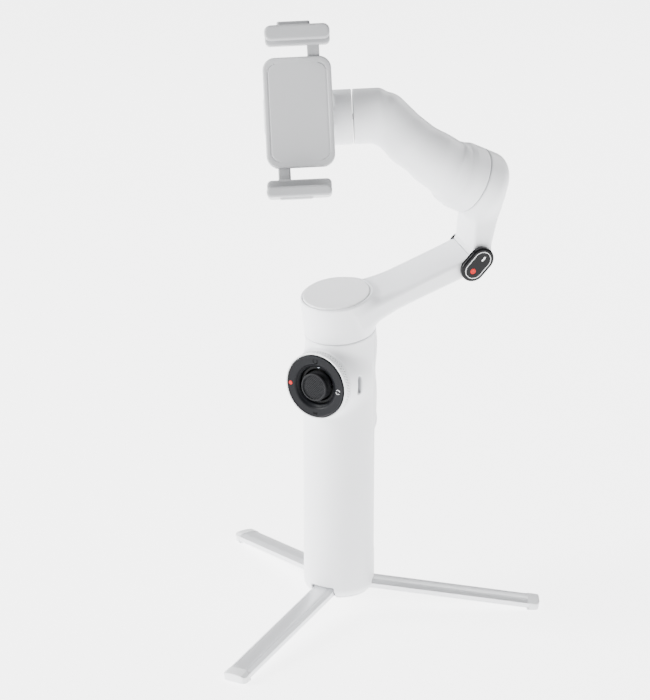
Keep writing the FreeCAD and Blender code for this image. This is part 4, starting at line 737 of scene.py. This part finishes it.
sdf_obj("upper_jaw_skin", jaw_shape(1), PHONE, (-12.4, -16.0, -13.2), (21.2, 43.2, 8.6), "upper_jaw", "jaw_grey", reps=("upper_jaw",), h=0.42)
sdf_obj("lower_jaw_skin", jaw_shape(-1), PHONE, (-14.6, -43.8, -13.2), (18.8, 15.0, 8.6), "lower_jaw", "jaw_grey", reps=("lower_jaw",), h=0.42)
def pad_shape(sign):
    yb = 36.1 if sign > 0 else -37.1
    x0 = (-11.2 if sign > 0 else -13.5) + 2.6; x1 = x0 + 26.0; xc = (x0 + x1) / 2
    def f(P):
        v = sign * (P[:, 1] - yb)
        rib = 0.13 * (0.5 + 0.5 * np.cos(2 * math.pi * P[:, 2] / 1.15)) * (P[:, 2] < 4.4)
        q = np.stack([P[:, 0] - xc, P[:, 2] + 0.1, v], 1)
        d = rbox(q, 13.0, 5.7, 0.0, 0.5, 0.6, 0.1)
        d = np.maximum(d, rib - v)
        if sign > 0:
            q = np.stack([P[:, 0] - xc, v + 1.35, P[:, 2]], 1)
            d = np.minimum(d, rbox(q, 13.0, 1.85, 4.6, 5.6, 0.5, 0.25))
        return d
    return f
sdf_obj("upper_pad_skin", pad_shape(1), PHONE, (-9.4, 32.2, -6.6), (18.2, 37.2, 6.4), "upper_jaw", "pad_grey", reps=("upper_jaw_pad",), h=0.24)
sdf_obj("lower_pad_skin", pad_shape(-1), PHONE, (-11.6, -38.2, -6.6), (15.8, -36.4, 6.4), "lower_jaw", "pad_grey", reps=("lower_jaw_pad",), h=0.24)

# ------------------------------------------------------------------ legs and feet
SL = math.radians(8.04)
def leg_surface():
    base = [(-6.0, -1.3), (6.0, -1.3), (6.0, 1.3), (4.45, 2.28)]
    crown = []
    for y in np.linspace(4.25, -4.25, 120):
        z = 2.36 + 0.39 * (1 - (y / 4.3) ** 2)
        for c in (3.75, -3.75):
            z -= 0.22 * math.exp(-((y - c) / 0.14) ** 2)
        for c in (2.9, -2.9):
            z -= 0.10 * math.exp(-((y - c) / 0.10) ** 2)
        crown.append((y, z))
    pts = base + crown + [(-4.45, 2.28), (-6.0, 1.3)]
    # soften the outer corners
    q = []
    m = len(pts)
    for i, p in enumerate(pts):
        if p in ((-6.0, -1.3), (6.0, -1.3), (6.0, 1.3), (-6.0, 1.3)):
            a = np.array(pts[i - 1]); c = np.array(p); b = np.array(pts[(i + 1) % m])
            da = (a - c) / np.linalg.norm(a - c); db = (b - c) / np.linalg.norm(b - c)
            for t in (0.0, 0.33, 0.67, 1.0):
                q.append(tuple(c + 0.28 * ((1 - t) ** 2 * da + t ** 2 * db)))
        else:
            q.append(p)
    return q
def loft(secs):
    n_ = len(secs[0]); V_ = [v for s_ in secs for v in s_]; F_ = []
    for k in range(len(secs) - 1):
        for i in range(n_):
            j = (i + 1) % n_
            F_.append((k * n_ + i, k * n_ + j, (k + 1) * n_ + j, (k + 1) * n_ + i))
    F_.append(tuple(range(n_))[::-1]); F_.append(tuple((len(secs) - 1) * n_ + i for i in range(n_)))
    return V_, F_
for nm, az in (("front", 270.0), ("right", 30.0), ("left", 150.0)):
    c, sn = math.cos(math.radians(az)), math.sin(math.radians(az))
    LF = Fr((13.5 * c, 13.5 * sn, 4.2), (math.cos(SL) * c, math.cos(SL) * sn, -math.sin(SL)), (math.sin(SL) * c, math.sin(SL) * sn, math.cos(SL)))
    pr = leg_surface()
    secs = [[(x, y, z) for y, z in pr] for x in (2.4, 9.0, 9.4, 20.0, 35.0, 50.0, 65.0, 80.0, 85.0)]
    # hinge eye at the inner end
    V_, F_ = loft(secs)
    eye = []; ns = 40
    for k, (yy, rr_) in enumerate(((-6.0, 1.0), (-6.0, 2.05), (-5.75, 2.3), (5.75, 2.3), (6.0, 2.05), (6.0, 1.0))):
        for i in range(ns):
            t = 2 * math.pi * i / ns
            eye.append((rr_ * math.cos(t), yy, rr_ * math.sin(t)))
    Fe = []
    for k in range(6):
        for i in range(ns):
            j = (i + 1) % ns; k2 = (k + 1) % 6
            Fe.append((k * ns + i, k2 * ns + i, k2 * ns + j, k * ns + j)[::-1])
    root = loft([[(x, y, z) for y, z in ((-6.0, -1.3), (6.0, -1.3), (6.0, 1.3), (4.3, 2.0), (-4.3, 2.0), (-6.0, 1.3))] for x in (1.2, 2.6)])
    lg = multi([(V_, F_), (eye, Fe), root])
    ob = mesh_obj("leg_skin_" + nm, LF.wor(np.array(lg[0])), lg[1], "leg_" + nm, "aluminium", mats="aluminium_" + nm, smooth=False, reps=("leg_bar_" + nm,))
    def foot(P, LF=LF):
        oc = np.array([(-6.3, -4.4), (6.3, -4.4), (6.3, 1.42), (4.45, 2.65), (2.2, 2.95), (0, 3.05), (-2.2, 2.95), (-4.45, 2.65), (-6.3, 1.42)])
        d = poly(P[:, 1], P[:, 2], oc)
        ends = rmax(np.abs(P[:, 1]) - 6.3, P[:, 0] - 90.3, 2.6)
        d = rmax(np.maximum(d, ends), P[:, 0] - 90.3, 0.7)
        d = rmax(d, 84.0 - P[:, 0], 0.25)
        core = np.maximum(poly(P[:, 1], P[:, 2], np.array([(-6.0, -1.3), (6.0, -1.3), (6.0, 1.3), (4.3, 2.35), (0, 2.75), (-4.3, 2.35), (-6.0, 1.3)])), P[:, 0] - 85.05)
        d = np.maximum(d, -core)
        zw = LF.wor(P)[:, 2]
        return rmax(d, -10.2 - zw, 0.45)
    sdf_obj("foot_skin_" + nm, foot, LF, (83.2, -7.2, -5.0), (91.2, 7.2, 4.0), "leg_" + nm, "foot_white", reps=("leg_foot_" + nm,), h=0.3)

# ------------------------------------------------------------------ trigger, port, hub
TRP = [(14.2, 104.0), (18.6, 104.0), (20.6, 101.5), (22.6, 97.5), (25.0, 93.0), (26.8, 89.0), (27.4, 85.5), (26.6, 82.4), (24.0, 79.6), (20.5, 77.6), (18.4, 77.4), (18.2, 83), (15.0, 96)]
def trigger(P):
    pl = poly(P[:, 1], P[:, 2], TRP)
    d = rmax(pl, np.abs(P[:, 0]) - 7.5, 2.0)
    rib = 0.22 * np.maximum(0, np.cos(2 * math.pi * (P[:, 2] - 85.5) / 2.2)) * sstep(6.2 - np.abs(P[:, 0]), 0, 1.2) * sstep(4.8 - np.abs(P[:, 2] - 86.0), 0, 1.0) * (P[:, 1] > 22)
    d = d + rib
    return np.maximum(d, -(np.hypot(P[:, 1] - 15.6, P[:, 2] - 101.5) - 0.85))
# the trigger is given the darker cover_white instead of its white_shell slot: painted shade on the handle's back
sdf_obj("trigger_skin", trigger, W, (-8.3, 13.2, 76.4), (8.3, 28.4, 105.0), "trigger", "white_shell", reps=("trigger",), h=0.36, mats="cover_white")
def usb(P):
    a = (8.95 - 3.25) / 2
    o = np.hypot(np.maximum(np.abs(P[:, 0]) - a, 0), P[:, 1]) - 1.625
    d = rmax(rmax(o, -7.6 - P[:, 2], 0.3), P[:, 2] + 0.6, 0.12)
    i = np.hypot(np.maximum(np.abs(P[:, 0]) - a, 0), P[:, 1]) - 1.325
    d = np.maximum(d, -np.maximum(i, -7.0 - P[:, 2]))
    tg = rbox(P, 3.3, 0.35, -7.2, -1.6, 0.15, 0.1)
    return np.minimum(d, tg)
sdf_obj("usb_port_skin", usb, PORTF, (-5.2, -2.4, -8.2), (5.2, 2.4, 0.2), "handle", REC_SLOT["usb_c_port"], mats="port_grey", reps=("usb_c_port",), h=0.24)
def hub(P):
    d = rmax(np.hypot(P[:, 0], P[:, 1]) - 16.15, P[:, 2] - 13.5, 0.3)
    rd = handle_out(P)
    d = np.maximum(d, rd); d = np.maximum(d, -P[:, 2])
    for az in (270.0, 30.0, 150.0):
        c, s_ = math.cos(math.radians(az)), math.sin(math.radians(az))
        u = P[:, 0] * c + P[:, 1] * s_; v = -P[:, 0] * s_ + P[:, 1] * c
        d = rmax(d, -np.maximum(np.maximum(np.abs(v) - 6.25, P[:, 2] - 9.0), 7.2 - u), 0.3)
        d = np.maximum(d, -np.maximum(np.hypot(u - 13.5, P[:, 2] - 4.2) - 1.0, np.abs(v) - 7.3))
    r_ = np.hypot(P[:, 0], P[:, 1])
    d = rmax(d, -np.maximum(r_ - 4.2, P[:, 2] - 8.5), 0.15)
    d = np.maximum(d, -np.maximum(np.abs(r_ - 5.6) - 0.25, P[:, 2] - 0.3))
    for az in (90.0, 210.0, 330.0):
        c, s_ = math.cos(math.radians(az)), math.sin(math.radians(az))
        q = np.hypot(P[:, 0] - 12.2 * c, P[:, 1] - 12.2 * s_)
        d = rmax(d, -np.maximum(q - 1.95, P[:, 2] - 3.2), 0.15); d = np.maximum(d, -(q - 1.05))
    return d
# the bottom hub is given the darker cover_white: painted shade on the handle's underside
sdf_obj("bottom_hub_skin", hub, W, (-17, -17, -0.8), (17, 17, 14.2), "handle", REC_SLOT["bottom_hub"], mats="cover_white", reps=("bottom_hub",), h=0.45)

# ------------------------------------------------------------------ camera, floor, light
d_ = np.array([0.4735, -0.8202, 0.3211]); d_ /= np.linalg.norm(d_)
tgt = np.array([math.cos(math.radians(30)) * -7.19, math.sin(math.radians(30)) * -7.19, 128.92]) / 1000
cam = bpy.data.cameras.new("camera"); co = bpy.data.objects.new("camera", cam)
bpy.context.scene.collection.objects.link(co)
loc = tgt + d_ * 1.232
zc = Vector(d_); xc = Vector((0, 0, 1)).cross(zc).normalized(); yc_ = zc.cross(xc)
M = Matrix((xc, yc_, zc)).transposed().to_4x4(); M.translation = Vector(loc)
co.matrix_world = M
cam.lens = 127.3; cam.sensor_width = 36.0; cam.sensor_fit = "AUTO"; cam.clip_start = 0.05; cam.clip_end = 50
bpy.context.scene.camera = co

zf = min(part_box("leg_foot_front")[0][2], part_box("leg_foot_left")[0][2])
bpy.ops.mesh.primitive_plane_add(size=12.0, location=(0, 0, zf - 0.0001))
floor = bpy.context.object; floor.name = "floor"
m, nt, b = new_mat("floor_pale")
fv = noise(nt, coords(nt), 6.0, 3.0)
nt.links.new(ramp(nt, fv, [(0.3, (0.50, 0.50, 0.50)), (0.7, (0.52, 0.52, 0.52))]), b.inputs["Base Color"])
b.inputs["Roughness"].default_value = 0.8; b.inputs["Specular IOR Level"].default_value = 0.1
b.inputs["Emission Color"].default_value = (1, 1, 1, 1); b.inputs["Emission Strength"].default_value = 4.4
floor.data.materials.append(m)

wd = bpy.data.worlds.new("studio"); bpy.context.scene.world = wd; wd.use_nodes = True
bg = wd.node_tree.nodes["Background"]; bg.inputs["Color"].default_value = (1.0, 1.0, 1.0, 1); bg.inputs["Strength"].default_value = 0.36
def area(name, loc_, tgt_, size, power, col=(1, 1, 1)):
    l = bpy.data.lights.new(name, "AREA"); l.shape = "RECTANGLE"; l.size = size[0]; l.size_y = size[1]; l.energy = power; l.color = col
    o = bpy.data.objects.new(name, l); bpy.context.scene.collection.objects.link(o)
    o.location = loc_; o.rotation_euler = (Vector(tgt_) - Vector(loc_)).to_track_quat("-Z", "Y").to_euler()
    return o
area("key", (-1.5, -1.05, 1.0), (0, 0, 0.15), (1.1, 1.1), 125.0)
area("fill", (1.6, -0.9, 0.5), (0, 0, 0.15), (0.7, 1.0), 3.0)
area("back", (0.2, 1.3, 1.0), (0, 0, 0.2), (1.6, 0.7), 18.0)
